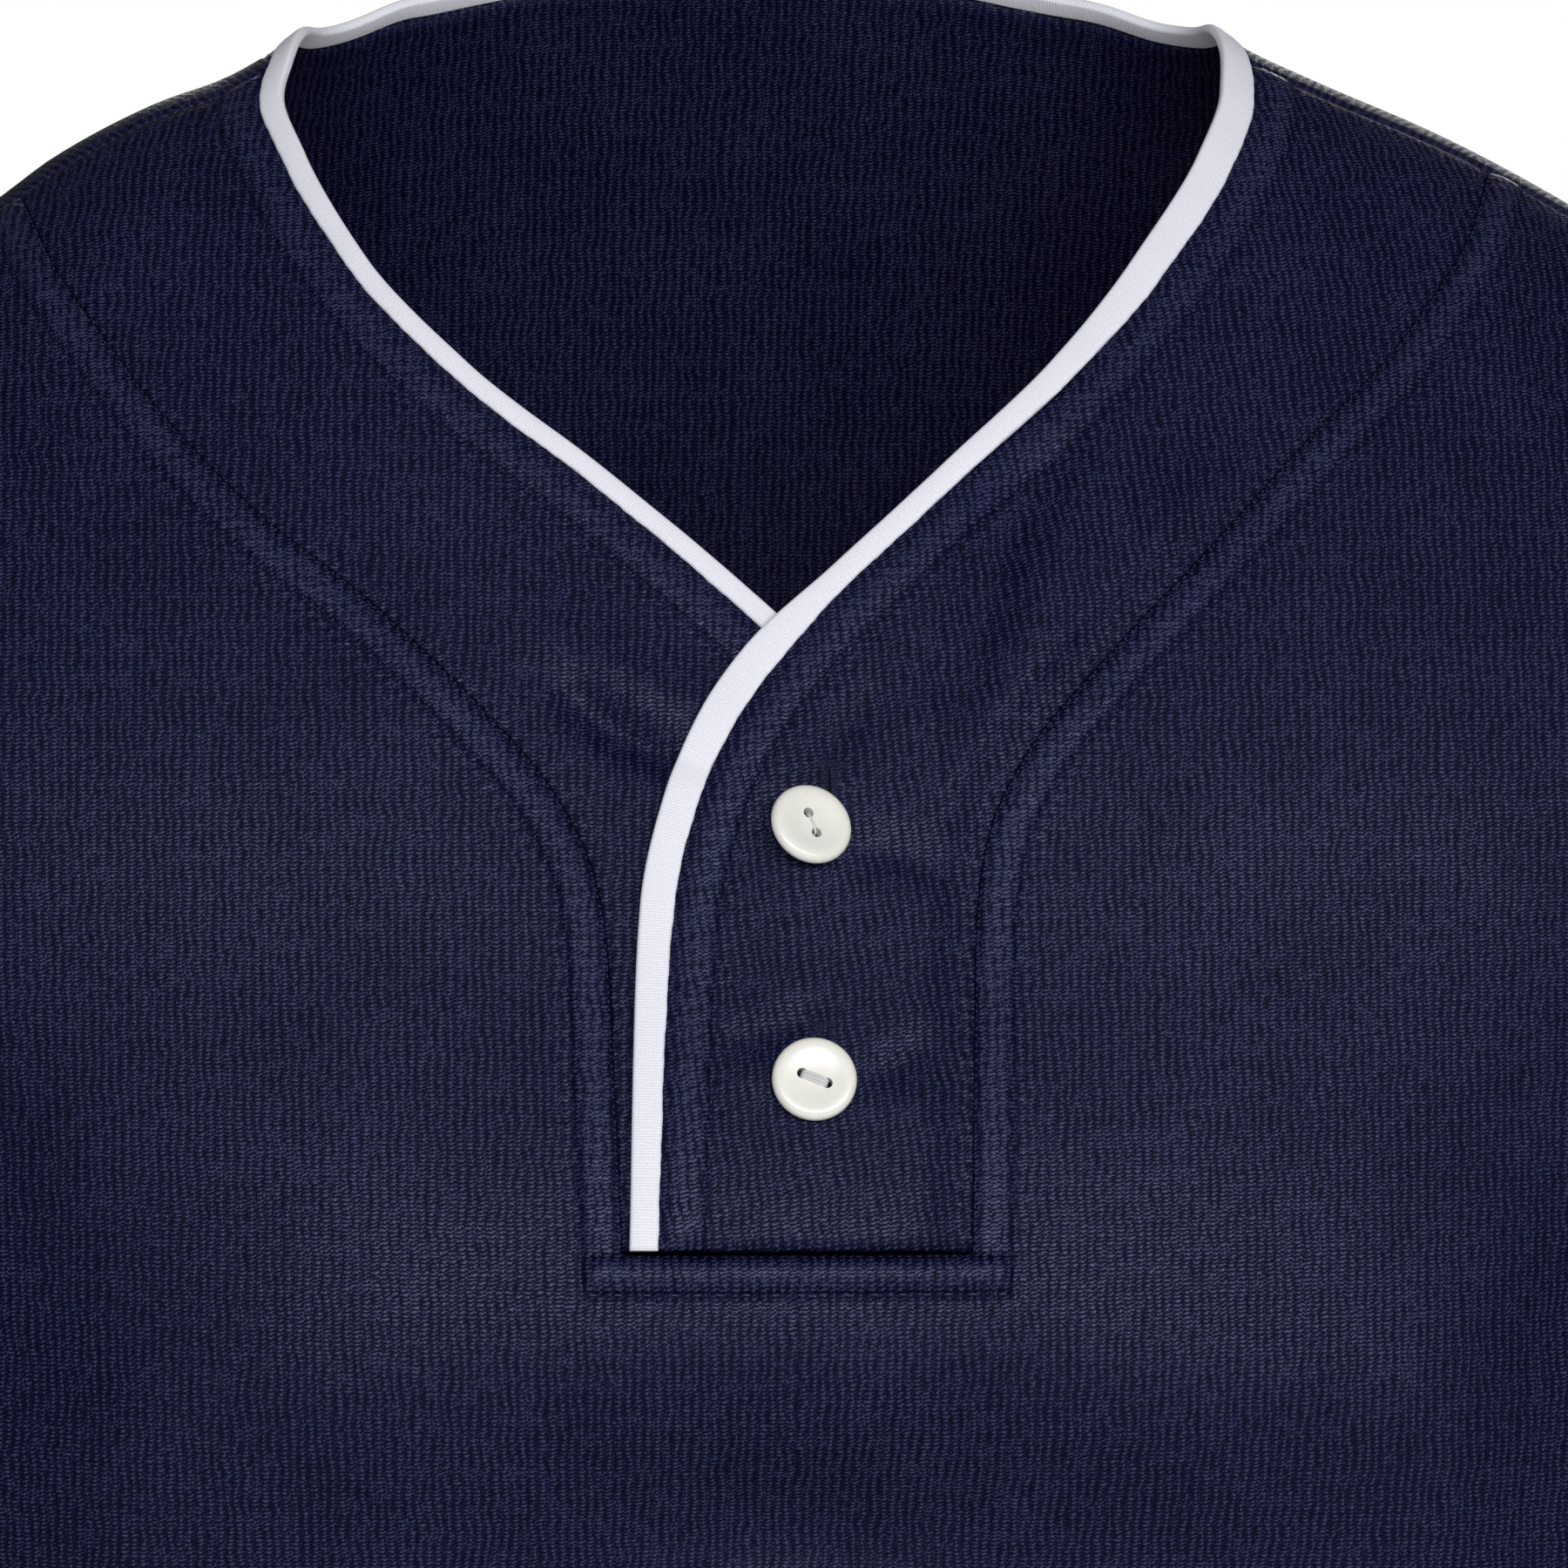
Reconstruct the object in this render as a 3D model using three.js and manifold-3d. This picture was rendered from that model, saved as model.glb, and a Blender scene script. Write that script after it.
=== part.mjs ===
import * as THREE from 'three';
import Module from 'manifold-3d';

// Sizes in millimetres. The front faces -Y and +X is the wearer's left side.
// The origin lies between the shoulders, level with the sides of the neck.
const CLOTH = 1.2;
const SEAM_GAP = 0.3;
const SHOULDER_GAP = 1.2;
const SEAM_STRIP_WIDTH = 7.2;
const NECK_STRIP_WIDTH = 8.2;
const STRIP_RISE = 0.45;
const STRIP_EDGE = 0.7;
const BINDING_THICKNESS = 2;
const BINDING_BELOW = 0.4;
const BINDING_BEVEL = 0.5;
const FLAP_LIFT = 2.3;
const FLAP_HINGE = 1.5;
const FLAP_CLEAR = 11;
const SHOULDER_SEAM_DROP = 3.5;
const PLACKET_BOTTOM = -214;
const HEM = -652;
const BUTTON_DIAMETER = 15.2;
const BUTTON_THICKNESS = 2.6;
const BUTTON_HOLE_DIAMETER = 1.9;
const BUTTON_SEAT_GAP = 0.3;

// Body form. Above the chest base the sections round over into the shoulders.
const CHEST_BASE = -130;
const TOP_HALF_WIDTH = 235;
const ROUNDNESS = 2.3;
const SHOULDER_END = 190;
const BODY_SECTIONS = [
  { z: -652, halfWidth: 212, front: 106, back: 104 },
  { z: -520, halfWidth: 199, front: 101, back: 94 },
  { z: -400, halfWidth: 188, front: 97, back: 84 },
  { z: -310, halfWidth: 191, front: 108, back: 90 },
  { z: -245, halfWidth: 196, front: 119, back: 98 },
  { z: -212, halfWidth: 199, front: 114.5, back: 103 },
  { z: -160, halfWidth: 219, front: 98, back: 110 },
  { z: -130, halfWidth: 235, front: 89, back: 112 },
  { z: -101, halfWidth: 235, front: 80, back: 110 },
  { z: -50, halfWidth: 235, front: 64, back: 102 },
  { z: 0, halfWidth: 235, front: 48, back: 84 },
  { z: 48, halfWidth: 235, front: 37, back: 66 },
];

// Top line of the shoulders and, between them, of the cloth round the neck.
const TOP_LINE = [
  { x: -235, z: -79 },
  { x: -190, z: -50 },
  { x: -142, z: -23.6 },
  { x: -130, z: -14.8 },
  { x: -111, z: -4.8 },
  { x: -99, z: -0.4 },
  { x: -91, z: 4 },
  { x: -86, z: 7.6 },
  { x: -78, z: 14 },
  { x: -62, z: 26 },
  { x: -35, z: 38 },
  { x: 0, z: 43 },
  { x: 35, z: 38 },
  { x: 62, z: 27 },
  { x: 80, z: 14.5 },
  { x: 91, z: 6.6 },
  { x: 105, z: 0.1 },
  { x: 128, z: -9.7 },
  { x: 150, z: -21.2 },
  { x: 190, z: -47 },
  { x: 235, z: -79 },
];

// Edge of the neck from the foot of the flap, over the left shoulder, round
// the back and down the right side to the foot of the layer under the flap.
const NECK_EDGE = [
  { x: -29.9, z: -214, behind: false, width: 5 },
  { x: -28.7, z: -180, behind: false, width: 5.5 },
  { x: -27, z: -153, behind: false, width: 6.1 },
  { x: -22.2, z: -133, behind: false, width: 6.3 },
  { x: -14.9, z: -117.5, behind: false, width: 6.6 },
  { x: -6.6, z: -106.4, behind: false, width: 6.6 },
  { x: 8, z: -93.4, behind: false, width: 4.6 },
  { x: 29.4, z: -74.2, behind: false, width: 4.4 },
  { x: 49.8, z: -55, behind: false, width: 5 },
  { x: 66.3, z: -35, behind: false, width: 6.4 },
  { x: 80, z: -14.8, behind: false, width: 6.8 },
  { x: 85.4, z: -2.5, behind: false, width: 6.8 },
  { x: 86.4, z: 5.4, behind: false, width: 6 },
  { x: 84, z: 11, behind: true, width: 4.8 },
  { x: 66, z: 16.6, behind: true, width: 4.6 },
  { x: 35, z: 22.8, behind: true, width: 4.6 },
  { x: 0, z: 25, behind: true, width: 4.6 },
  { x: -35, z: 22.8, behind: true, width: 4.6 },
  { x: -64, z: 16.6, behind: true, width: 4.6 },
  { x: -81, z: 10.2, behind: true, width: 4.6 },
  { x: -86.6, z: 3.4, behind: false, width: 4.8 },
  { x: -88.4, z: -4, behind: false, width: 4.6 },
  { x: -84.6, z: -15.4, behind: false, width: 4.4 },
  { x: -73.7, z: -35.5, behind: false, width: 3.9 },
  { x: -55.6, z: -55.2, behind: false, width: 3.9 },
  { x: -31.3, z: -74.6, behind: false, width: 3.9 },
  { x: -9, z: -93.6, behind: false, width: 4 },
  { x: 3, z: -104.9, behind: false, width: 4.2 },
  { x: 12, z: -116.4, behind: false, width: 4.6 },
  { x: 17.5, z: -133, behind: false, width: 5 },
  { x: 20, z: -156, behind: false, width: 5 },
  { x: 20.5, z: -214, behind: false, width: 5 },
];

// Seams between the neck bands and the front, from the shoulder seam down.
const LEFT_BAND_SEAM = [
  { x: 139.6, z: -14 },
  { x: 131.8, z: -28.3 },
  { x: 115.9, z: -50.3 },
  { x: 96.9, z: -69 },
  { x: 77, z: -89.5 },
  { x: 57, z: -109.8 },
  { x: 43.2, z: -125.8 },
  { x: 35.8, z: -141 },
  { x: 33.4, z: -155.3 },
  { x: 32.2, z: -180 },
  { x: 31, z: -214 },
];
const RIGHT_BAND_SEAM = [
  { x: -139.4, z: -20 },
  { x: -132, z: -34 },
  { x: -116.8, z: -57.3 },
  { x: -97, z: -80 },
  { x: -74.6, z: -98.4 },
  { x: -55.5, z: -117 },
  { x: -42, z: -133 },
  { x: -35.2, z: -147.5 },
  { x: -33, z: -160 },
  { x: -32.2, z: -184 },
  { x: -31.2, z: -214 },
];

// Armhole, the same in front and behind, from the shoulder to the underarm.
const ARMHOLE = [
  { z: -56, x: 190 },
  { z: -76, x: 181 },
  { z: -100, x: 173.5 },
  { z: -130, x: 171 },
  { z: -160, x: 175.5 },
  { z: -185, x: 185 },
  { z: -203, x: 194.5 },
  { z: -212, x: 199 },
];
const UNDERARM = -212;

// Sleeve from the armhole to its cuff.
const SLEEVE_TILT = 22 * Math.PI / 180;
const CUFF_CENTRE = new THREE.Vector3(264, 2, -238);
const CUFF_HALF_WIDTH = 53;
const CUFF_HALF_DEPTH = 57;
const SLEEVE_START_PULL = 70;
const SLEEVE_END_PULL = 80;

// Soft folds of the loose lower part. Depth is outward where positive.
const FOLDS = [
  { side: -1, x: -118, width: 34, depth: 5.5, from: -330, full: -560 },
  { side: -1, x: -52, width: 26, depth: -3.5, from: -400, full: -600 },
  { side: -1, x: 38, width: 30, depth: 3.5, from: -380, full: -580 },
  { side: -1, x: 112, width: 30, depth: -4.5, from: -340, full: -570 },
  { side: 1, x: -96, width: 34, depth: 5, from: -300, full: -540 },
  { side: 1, x: -12, width: 30, depth: -4, from: -330, full: -580 },
  { side: 1, x: 84, width: 36, depth: 5.5, from: -290, full: -550 },
];

// Numbers of rows and columns in the meshes.
const SEAM_ROWS = 28;
const SIDE_COLUMNS = 8;
const LOWER_ROWS = 18;
const LOWER_ROW_SPREAD = 1.5;
const CENTRE_COLUMNS = 6;
const BACK_ARMHOLE_ROWS = 14;
const BACK_LOWER_ROWS = 10;
const BACK_NECK_STEPS = 18;
const BACK_EDGE_REACH = 5;
const BAND_COLUMNS = 4;
const SLEEVE_ROWS = 9;
const BUTTON_SIDES = 32;
const BUTTON_HOLE_SIDES = 14;

// Shares along the left band between which its flap comes off the layer below.
const FLAP_START = 0.3;
const FLAP_FREE = 0.47;

// How evenly the armhole is divided, and how the sleeve leaves it.
const ARMHOLE_EVENNESS = 0.25;
const UNDERARM_EASE = 0.3;
const UNDERARM_START = 0.5;
const UNDERARM_FULL = 0.95;
const SLEEVE_LEAD = new THREE.Vector3(1, 0, -0.3);
const SLEEVE_LEAD_LEAST = 0.35;
const LEAST_LEAN = 0.15;

// Smooth curve through a table's rows that never overshoots them.
function smooth(rows, from, to) {
  const xs = rows.map((row) => row[from]);
  const ys = rows.map((row) => row[to]);
  const last = xs.length - 1;
  const steps = xs.slice(1).map((x, i) => x - xs[i]);
  const slopes = steps.map((step, i) => (ys[i + 1] - ys[i]) / step);
  const tangents = xs.map((x, i) => {
    if (i === 0) return slopes[0];
    if (i === last) return slopes[last - 1];
    if (slopes[i - 1] * slopes[i] <= 0) return 0;
    const a = 2 * steps[i] + steps[i - 1];
    const b = steps[i] + 2 * steps[i - 1];
    return (a + b) / (a / slopes[i - 1] + b / slopes[i]);
  });
  return (value) => {
    const x = THREE.MathUtils.clamp(value, xs[0], xs[last]);
    let i = 0;
    while (i < last - 1 && x > xs[i + 1]) i += 1;
    const t = (x - xs[i]) / steps[i];
    const t2 = t * t;
    const t3 = t2 * t;
    return (2 * t3 - 3 * t2 + 1) * ys[i] + (t3 - 2 * t2 + t) * steps[i] * tangents[i]
      + (3 * t2 - 2 * t3) * ys[i + 1] + (t3 - t2) * steps[i] * tangents[i + 1];
  };
}

const halfWidthAt = smooth(BODY_SECTIONS, 'z', 'halfWidth');
const frontAt = smooth(BODY_SECTIONS, 'z', 'front');
const backAt = smooth(BODY_SECTIONS, 'z', 'back');
const topAt = smooth(TOP_LINE, 'x', 'z');
const armholeAt = smooth([...ARMHOLE].reverse(), 'z', 'x');

function foldAt(side, x, z) {
  let depth = 0;
  for (const fold of FOLDS) {
    if (fold.side !== side) continue;
    const across = (x - fold.x) / fold.width;
    depth += fold.depth * Math.exp(-across * across)
      * THREE.MathUtils.smoothstep(-z, -fold.from, -fold.full);
  }
  return depth;
}

// A spot on the cloth: turn is the angle round the body, rise is the way up it
// from the chest base, which carries on over the shoulder and down behind.
function widthAt(rise) {
  return rise < 0 ? halfWidthAt(CHEST_BASE + rise) : TOP_HALF_WIDTH;
}

function sideways(turn, rise) {
  const s = Math.sin(turn);
  return widthAt(rise) * Math.sign(s) * Math.abs(s) ** (2 / ROUNDNESS);
}

function turnOf(x, rise) {
  const share = Math.min(1, Math.abs(x) / widthAt(rise));
  return Math.sign(x) * Math.asin(share ** (ROUNDNESS / 2));
}

function arcRadius(x) {
  return topAt(x) - CHEST_BASE;
}

function riseOf(x, z, behind = false) {
  if (z <= CHEST_BASE) return z - CHEST_BASE;
  const radius = arcRadius(x);
  const angle = Math.asin(Math.min(1, (z - CHEST_BASE) / radius));
  return radius * (behind ? Math.PI - angle : angle);
}

function bodyPoint(turn, rise, side) {
  const x = sideways(turn, rise);
  const deep = Math.max(0, Math.cos(turn)) ** (2 / ROUNDNESS);
  const radius = arcRadius(x);
  const angle = rise > 0 ? rise / radius : 0;
  const z = rise > 0 ? CHEST_BASE + radius * Math.sin(angle) : CHEST_BASE + rise;
  const lean = Math.cos(angle);
  const face = lean >= 0 ? side : -side;
  const depth = (face < 0 ? frontAt(z) : backAt(z)) + foldAt(face, x, z);
  return new THREE.Vector3(x, face * depth * deep * Math.abs(lean), z);
}

function bodyNormal(turn, rise, side) {
  const small = 0.002;
  const across = bodyPoint(turn + small, rise, side).sub(bodyPoint(turn - small, rise, side));
  const up = bodyPoint(turn, rise + small * 100, side)
    .sub(bodyPoint(turn, rise - small * 100, side));
  return across.cross(up).multiplyScalar(-side).normalize();
}

function vertexAt(turn, rise, side) {
  return { turn, rise, at: bodyPoint(turn, rise, side), out: bodyNormal(turn, rise, side) };
}

// The spot a given way across the cloth from a path through x and rise.
function stepAside(path, t, distance) {
  const steps = 4;
  const ahead = path(Math.min(1, t + 0.002));
  const behind = path(Math.max(0, t - 0.002));
  const slope = { x: ahead.x - behind.x, rise: ahead.rise - behind.rise };
  const spot = path(t);
  const small = 0.05;
  for (let i = 0; i < steps; i += 1) {
    const point = (x, rise) => bodyPoint(turnOf(x, rise), rise, -1);
    const here = point(spot.x, spot.rise);
    const byX = point(spot.x + small, spot.rise).sub(here).divideScalar(small);
    const byRise = point(spot.x, spot.rise + small).sub(here).divideScalar(small);
    const along = byX.clone().multiplyScalar(slope.x).addScaledVector(byRise, slope.rise);
    const normal = byX.clone().cross(byRise).normalize();
    const aside = along.cross(normal).normalize().multiplyScalar(distance / steps);
    const xx = byX.dot(byX);
    const xr = byX.dot(byRise);
    const rr = byRise.dot(byRise);
    const gx = aside.dot(byX);
    const gr = aside.dot(byRise);
    const scale = xx * rr - xr * xr;
    spot.x += (gx * rr - gr * xr) / scale;
    spot.rise += (gr * xx - gx * xr) / scale;
  }
  return spot;
}

// Path through rows of x and z, measured along its rows.
function pathThrough(rows) {
  const spots = rows.map((row) => ({ x: row.x, rise: riseOf(row.x, row.z, row.behind) }));
  let total = 0;
  const marks = spots.map((spot, i) => {
    if (i > 0) total += Math.hypot(spot.x - spots[i - 1].x, spot.rise - spots[i - 1].rise);
    return { ...rows[i], along: total, rise: spot.rise };
  });
  const x = smooth(marks, 'along', 'x');
  const rise = smooth(marks, 'along', 'rise');
  const width = smooth(marks, 'along', 'width');
  const path = (t) => ({ x: x(t * total), rise: rise(t * total) });
  path.widthAt = (t) => width(t * total);
  return path;
}

// Shares along a path, between two of them, that are evenly spaced on the cloth.
function evenShares(path, start, end, count) {
  const fine = 240;
  const shares = Array.from({ length: fine + 1 }, (_, i) => start + (end - start) * i / fine);
  const lengths = [0];
  let before = null;
  shares.forEach((share, i) => {
    const spot = path(share);
    const here = bodyPoint(turnOf(spot.x, spot.rise), spot.rise, -1);
    if (i > 0) lengths.push(lengths[i - 1] + here.distanceTo(before));
    before = here;
  });
  return Array.from({ length: count + 1 }, (_, i) => {
    const goal = lengths[fine] * i / count;
    let k = 0;
    while (k < fine - 1 && lengths[k + 1] < goal) k += 1;
    const part = (goal - lengths[k]) / (lengths[k + 1] - lengths[k]);
    return shares[k] + part * (shares[k + 1] - shares[k]);
  });
}

function seamRise(x) {
  const radius = arcRadius(x);
  return radius * Math.asin(1 - SHOULDER_SEAM_DROP / radius);
}

function shareAtShoulder(path, start, end) {
  let low = start;
  let high = end;
  const gap = (t) => {
    const spot = path(t);
    return spot.rise - seamRise(spot.x);
  };
  const rising = gap(end) > gap(start);
  for (let i = 0; i < 30; i += 1) {
    const middle = (low + high) / 2;
    if ((gap(middle) > 0) === rising) high = middle;
    else low = middle;
  }
  return (low + high) / 2;
}

// A wall over a grid of vertices. Cells that keep() leaves out are open. A
// vertex can stand off its place by lift and have extra thickness.
function wall(name, grid, look, keep = () => true, closed = false) {
  const rows = grid.length;
  const columns = grid[0].length;
  const positions = [];
  const outer = [];
  const inner = [];
  grid.forEach((line) => {
    const outerLine = [];
    const innerLine = [];
    line.forEach(({ at, out, lift = 0, extra = 0 }) => {
      outerLine.push(positions.length / 3);
      positions.push(...at.clone().addScaledVector(out, lift + CLOTH + extra).toArray());
      innerLine.push(positions.length / 3);
      positions.push(...at.clone().addScaledVector(out, lift).toArray());
    });
    outer.push(outerLine);
    inner.push(innerLine);
  });
  const index = [];
  const quad = (a, b, c, d) => index.push(a, b, c, a, c, d);
  const lastRow = rows - 1;
  const lastColumn = closed ? columns : columns - 1;
  const kept = (i, j) => {
    const column = closed ? (j + columns) % columns : j;
    return i >= 0 && i < lastRow && column >= 0 && column < lastColumn && keep(i, column);
  };
  for (let i = 0; i < lastRow; i += 1) {
    for (let j = 0; j < lastColumn; j += 1) {
      if (!kept(i, j)) continue;
      const k = (j + 1) % columns;
      quad(outer[i][j], outer[i][k], outer[i + 1][k], outer[i + 1][j]);
      quad(inner[i][j], inner[i + 1][j], inner[i + 1][k], inner[i][k]);
      if (!kept(i - 1, j)) quad(inner[i][j], inner[i][k], outer[i][k], outer[i][j]);
      if (!kept(i + 1, j)) {
        quad(inner[i + 1][k], inner[i + 1][j], outer[i + 1][j], outer[i + 1][k]);
      }
      if (!kept(i, j - 1)) quad(inner[i + 1][j], inner[i][j], outer[i][j], outer[i + 1][j]);
      if (!kept(i, j + 1)) quad(inner[i][k], inner[i + 1][k], outer[i + 1][k], outer[i][k]);
    }
  }
  return meshFrom(name, positions, index, look);
}

function signedVolume(positions, index) {
  const a = new THREE.Vector3();
  const b = new THREE.Vector3();
  const c = new THREE.Vector3();
  let volume = 0;
  for (let i = 0; i < index.length; i += 3) {
    a.fromArray(positions, index[i] * 3);
    b.fromArray(positions, index[i + 1] * 3);
    c.fromArray(positions, index[i + 2] * 3);
    volume += a.dot(b.cross(c));
  }
  return volume;
}

function meshFrom(name, positions, index, look) {
  const facing = [...index];
  if (signedVolume(positions, index) < 0) facing.reverse();
  const geometry = new THREE.BufferGeometry();
  geometry.setAttribute('position', new THREE.Float32BufferAttribute(positions, 3));
  geometry.setIndex(facing);
  const used = geometry.toNonIndexed();
  used.computeVertexNormals();
  const mesh = new THREE.Mesh(used, new THREE.MeshStandardMaterial(look));
  mesh.name = name;
  return mesh;
}

const NAVY_KNIT = { color: 0x1e2139, roughness: 0.72, metalness: 0 };
const WHITE_BINDING = { color: 0xe6e6f0, roughness: 0.8, metalness: 0 };
const WARM_WHITE_BUTTON = { color: 0xe8e7e2, roughness: 0.22, metalness: 0 };

function mix(a, b, t) {
  return a + (b - a) * t;
}

// Patch between four edges, each a list of { turn, rise }. The side edges pull
// on the inside of the patch less and less as their reach grows.
function patch(top, bottom, left, right, side, reach) {
  const columns = top.length - 1;
  const rows = left.length - 1;
  const value = (i, j, key) => {
    const down = (left[i].rise - left[0].rise) / (left[rows].rise - left[0].rise);
    const u = j / columns;
    const between = (k) => mix(top[k][key], bottom[k][key], down);
    return between(j) + (1 - u) ** reach * (left[i][key] - between(0))
      + u ** reach * (right[i][key] - between(columns));
  };
  return left.map((_, i) => top.map((__, j) => (
    vertexAt(value(i, j, 'turn'), value(i, j, 'rise'), side))));
}

function spotFrom(x, rise) {
  return { turn: turnOf(x, rise), rise };
}

const neckEdge = pathThrough(NECK_EDGE);
const leftShoulderShare = shareAtShoulder(neckEdge, 0.2, 0.5);
const rightShoulderShare = shareAtShoulder(neckEdge, 0.5, 0.8);

// The side edges keep half a seam gap from the middle of the body's thickness.
function sideTurn(rise) {
  const depth = frontAt(CHEST_BASE + rise);
  return Math.acos((SEAM_GAP / 2 / depth) ** (ROUNDNESS / 2));
}

// Spots down the armhole, closer together where it turns under the arm.
function armholeSpots(sign, count, fromRise, side) {
  const bottomRise = UNDERARM - CHEST_BASE;
  const fine = 160;
  const radius = arcRadius(sign * SHOULDER_END);
  const spotAt = (rise) => {
    const z = rise > 0 ? CHEST_BASE + radius * Math.sin(rise / radius) : CHEST_BASE + rise;
    const over = rise > radius * Math.PI / 2;
    const x = over ? SHOULDER_END : armholeAt(z);
    return { turn: sign * Math.min(turnOf(x, rise), sideTurn(rise)), rise };
  };
  const spots = Array.from({ length: fine + 1 }, (_, i) => spotAt(mix(fromRise, bottomRise, i / fine)));
  const points = spots.map((spot) => bodyPoint(spot.turn, spot.rise, side));
  const marks = [0];
  for (let i = 1; i <= fine; i += 1) {
    marks.push(marks[i - 1] + points[i].distanceTo(points[i - 1])
      + ARMHOLE_EVENNESS * Math.abs(spots[i].rise - spots[i - 1].rise));
  }
  return Array.from({ length: count + 1 }, (_, i) => {
    const goal = marks[fine] * i / count;
    let k = 0;
    while (k < fine - 1 && marks[k + 1] < goal) k += 1;
    const part = (goal - marks[k]) / (marks[k + 1] - marks[k]);
    return spotAt(mix(spots[k].rise, spots[k + 1].rise, part));
  });
}

function stripProfile(width) {
  return [0, width, width + STRIP_EDGE];
}

// One side of the upper front, from the band seam out to the armhole.
function yokeGrid(sign, seamRows) {
  const seam = pathThrough(seamRows);
  const start = shareAtShoulder(seam, 0, 0.3);
  const shares = evenShares(seam, start, 1, SEAM_ROWS);
  const distances = stripProfile(SEAM_STRIP_WIDTH).map((distance) => distance + SEAM_GAP / 2);
  const strips = distances.map((distance) => (
    shares.map((share) => stepAside(seam, share, -sign * distance))));
  strips.forEach((strip, k) => {
    const first = strip[0];
    first.rise = seamRise(first.x) - SHOULDER_GAP / 2;
    const lowest = strip[SEAM_ROWS];
    lowest.rise = PLACKET_BOTTOM - SEAM_GAP - CHEST_BASE;
    lowest.x = sign * (Math.abs(seam(1).x) + distances[k]);
  });
  const inner = strips[2].map((spot) => spotFrom(spot.x, spot.rise));
  const outerStart = seamRise(sign * SHOULDER_END) - SHOULDER_GAP / 2;
  const outer = armholeSpots(sign, SEAM_ROWS, outerStart, -1);
  const across = (a, b) => Array.from({ length: SIDE_COLUMNS + 1 }, (_, j) => j / SIDE_COLUMNS)
    .map((u) => ({ turn: mix(a.turn, b.turn, u), rise: mix(a.rise, b.rise, u) }));
  const top = across(outer[0], inner[0]).map((spot) => {
    const x = sideways(spot.turn, spot.rise);
    return spotFrom(x, seamRise(x) - SHOULDER_GAP / 2);
  });
  const bottom = across(outer[SEAM_ROWS], inner[SEAM_ROWS]);
  const grid = patch(top, bottom, outer, inner, -1, 1);
  return grid.map((line, i) => {
    const raised = [strips[1][i], strips[0][i]].map(({ x, rise }) => (
      { ...vertexAt(turnOf(x, rise), rise, -1), extra: STRIP_RISE }));
    return [...line, ...raised];
  });
}

// Both yokes, the strip under the placket and the plain front below the arms.
function frontBody(leftYoke, rightYoke) {
  const edge = SIDE_COLUMNS + 2;
  const upper = rightYoke.map((line, i) => {
    const wearersLeft = [...leftYoke[i]].reverse();
    const middle = Array.from({ length: CENTRE_COLUMNS - 1 }, (_, j) => {
      const x = mix(line[edge].at.x, wearersLeft[0].at.x, (j + 1) / CENTRE_COLUMNS);
      const rise = PLACKET_BOTTOM - SEAM_GAP - CHEST_BASE;
      return { ...vertexAt(turnOf(x, rise), rise, -1), extra: STRIP_RISE };
    });
    return [...line, ...middle, ...wearersLeft];
  });
  const seamLine = upper[SEAM_ROWS];
  const lastColumn = seamLine.length - 1;
  const hemRise = HEM - CHEST_BASE;
  const hemTurns = seamLine.map(({ at }, j) => {
    if (j === 0 || j === lastColumn) return Math.sign(at.x) * sideTurn(hemRise);
    return Math.sign(at.x) * Math.asin((Math.abs(at.x) / halfWidthAt(UNDERARM)) ** (ROUNDNESS / 2));
  });
  const strip = stripProfile(SEAM_STRIP_WIDTH);
  const lower = Array.from({ length: LOWER_ROWS }, (_, i) => seamLine.map((vertex, j) => {
    const share = (Math.max(0, i - 1) / (LOWER_ROWS - 2)) ** LOWER_ROW_SPREAD;
    const rise = mix(vertex.rise - strip[Math.min(i + 1, 2)], hemRise, share);
    const part = (vertex.rise - rise) / (vertex.rise - hemRise);
    const inStrip = i === 0 && j >= edge - 1 && j <= lastColumn + 1 - edge;
    const turn = mix(vertex.turn, hemTurns[j], part);
    return { ...vertexAt(turn, rise, -1), extra: inStrip ? STRIP_RISE : 0 };
  }));
  const keep = (i, j) => i >= SEAM_ROWS || j < edge || j >= edge + CENTRE_COLUMNS;
  return wall('front_body', [...upper, ...lower], NAVY_KNIT, keep);
}

// The back runs over the shoulders to the forward shoulder seams.
function backBody(leftShoulder, rightShoulder) {
  const shoulderSpots = (seamXs) => seamXs.map((x) => (
    spotFrom(x, Math.PI * arcRadius(x) - seamRise(x) - SHOULDER_GAP / 2)));
  const neck = evenShares(neckEdge, rightShoulderShare, leftShoulderShare, BACK_NECK_STEPS)
    .slice(1, -1)
    .map((share) => {
      const spot = stepAside(neckEdge, share, neckEdge.widthAt(share) + SEAM_GAP);
      return spotFrom(spot.x, Math.PI * arcRadius(spot.x) - spot.rise);
    });
  const top = [...shoulderSpots(rightShoulder), ...neck, ...shoulderSpots(leftShoulder).reverse()];
  const edgeOf = (sign) => {
    const start = Math.PI * arcRadius(sign * SHOULDER_END)
      - seamRise(sign * SHOULDER_END) - SHOULDER_GAP / 2;
    const upper = armholeSpots(sign, BACK_ARMHOLE_ROWS, start, 1);
    const lower = Array.from({ length: BACK_LOWER_ROWS }, (_, i) => {
      const rise = mix(UNDERARM - CHEST_BASE, HEM - CHEST_BASE, (i + 1) / BACK_LOWER_ROWS);
      return { turn: sign * sideTurn(rise), rise };
    });
    return [...upper, ...lower];
  };
  const bottom = top.map((spot, j) => {
    const x = sideways(spot.turn, spot.rise) / SHOULDER_END;
    const rise = HEM - CHEST_BASE;
    if (j === 0 || j === top.length - 1) return { turn: Math.sign(x) * sideTurn(rise), rise };
    return { turn: Math.sign(x) * Math.asin(Math.abs(x) ** (ROUNDNESS / 2)), rise };
  });
  const grid = patch(top, bottom, edgeOf(-1), edgeOf(1), 1, BACK_EDGE_REACH);
  return wall('back_body', grid, NAVY_KNIT);
}

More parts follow.
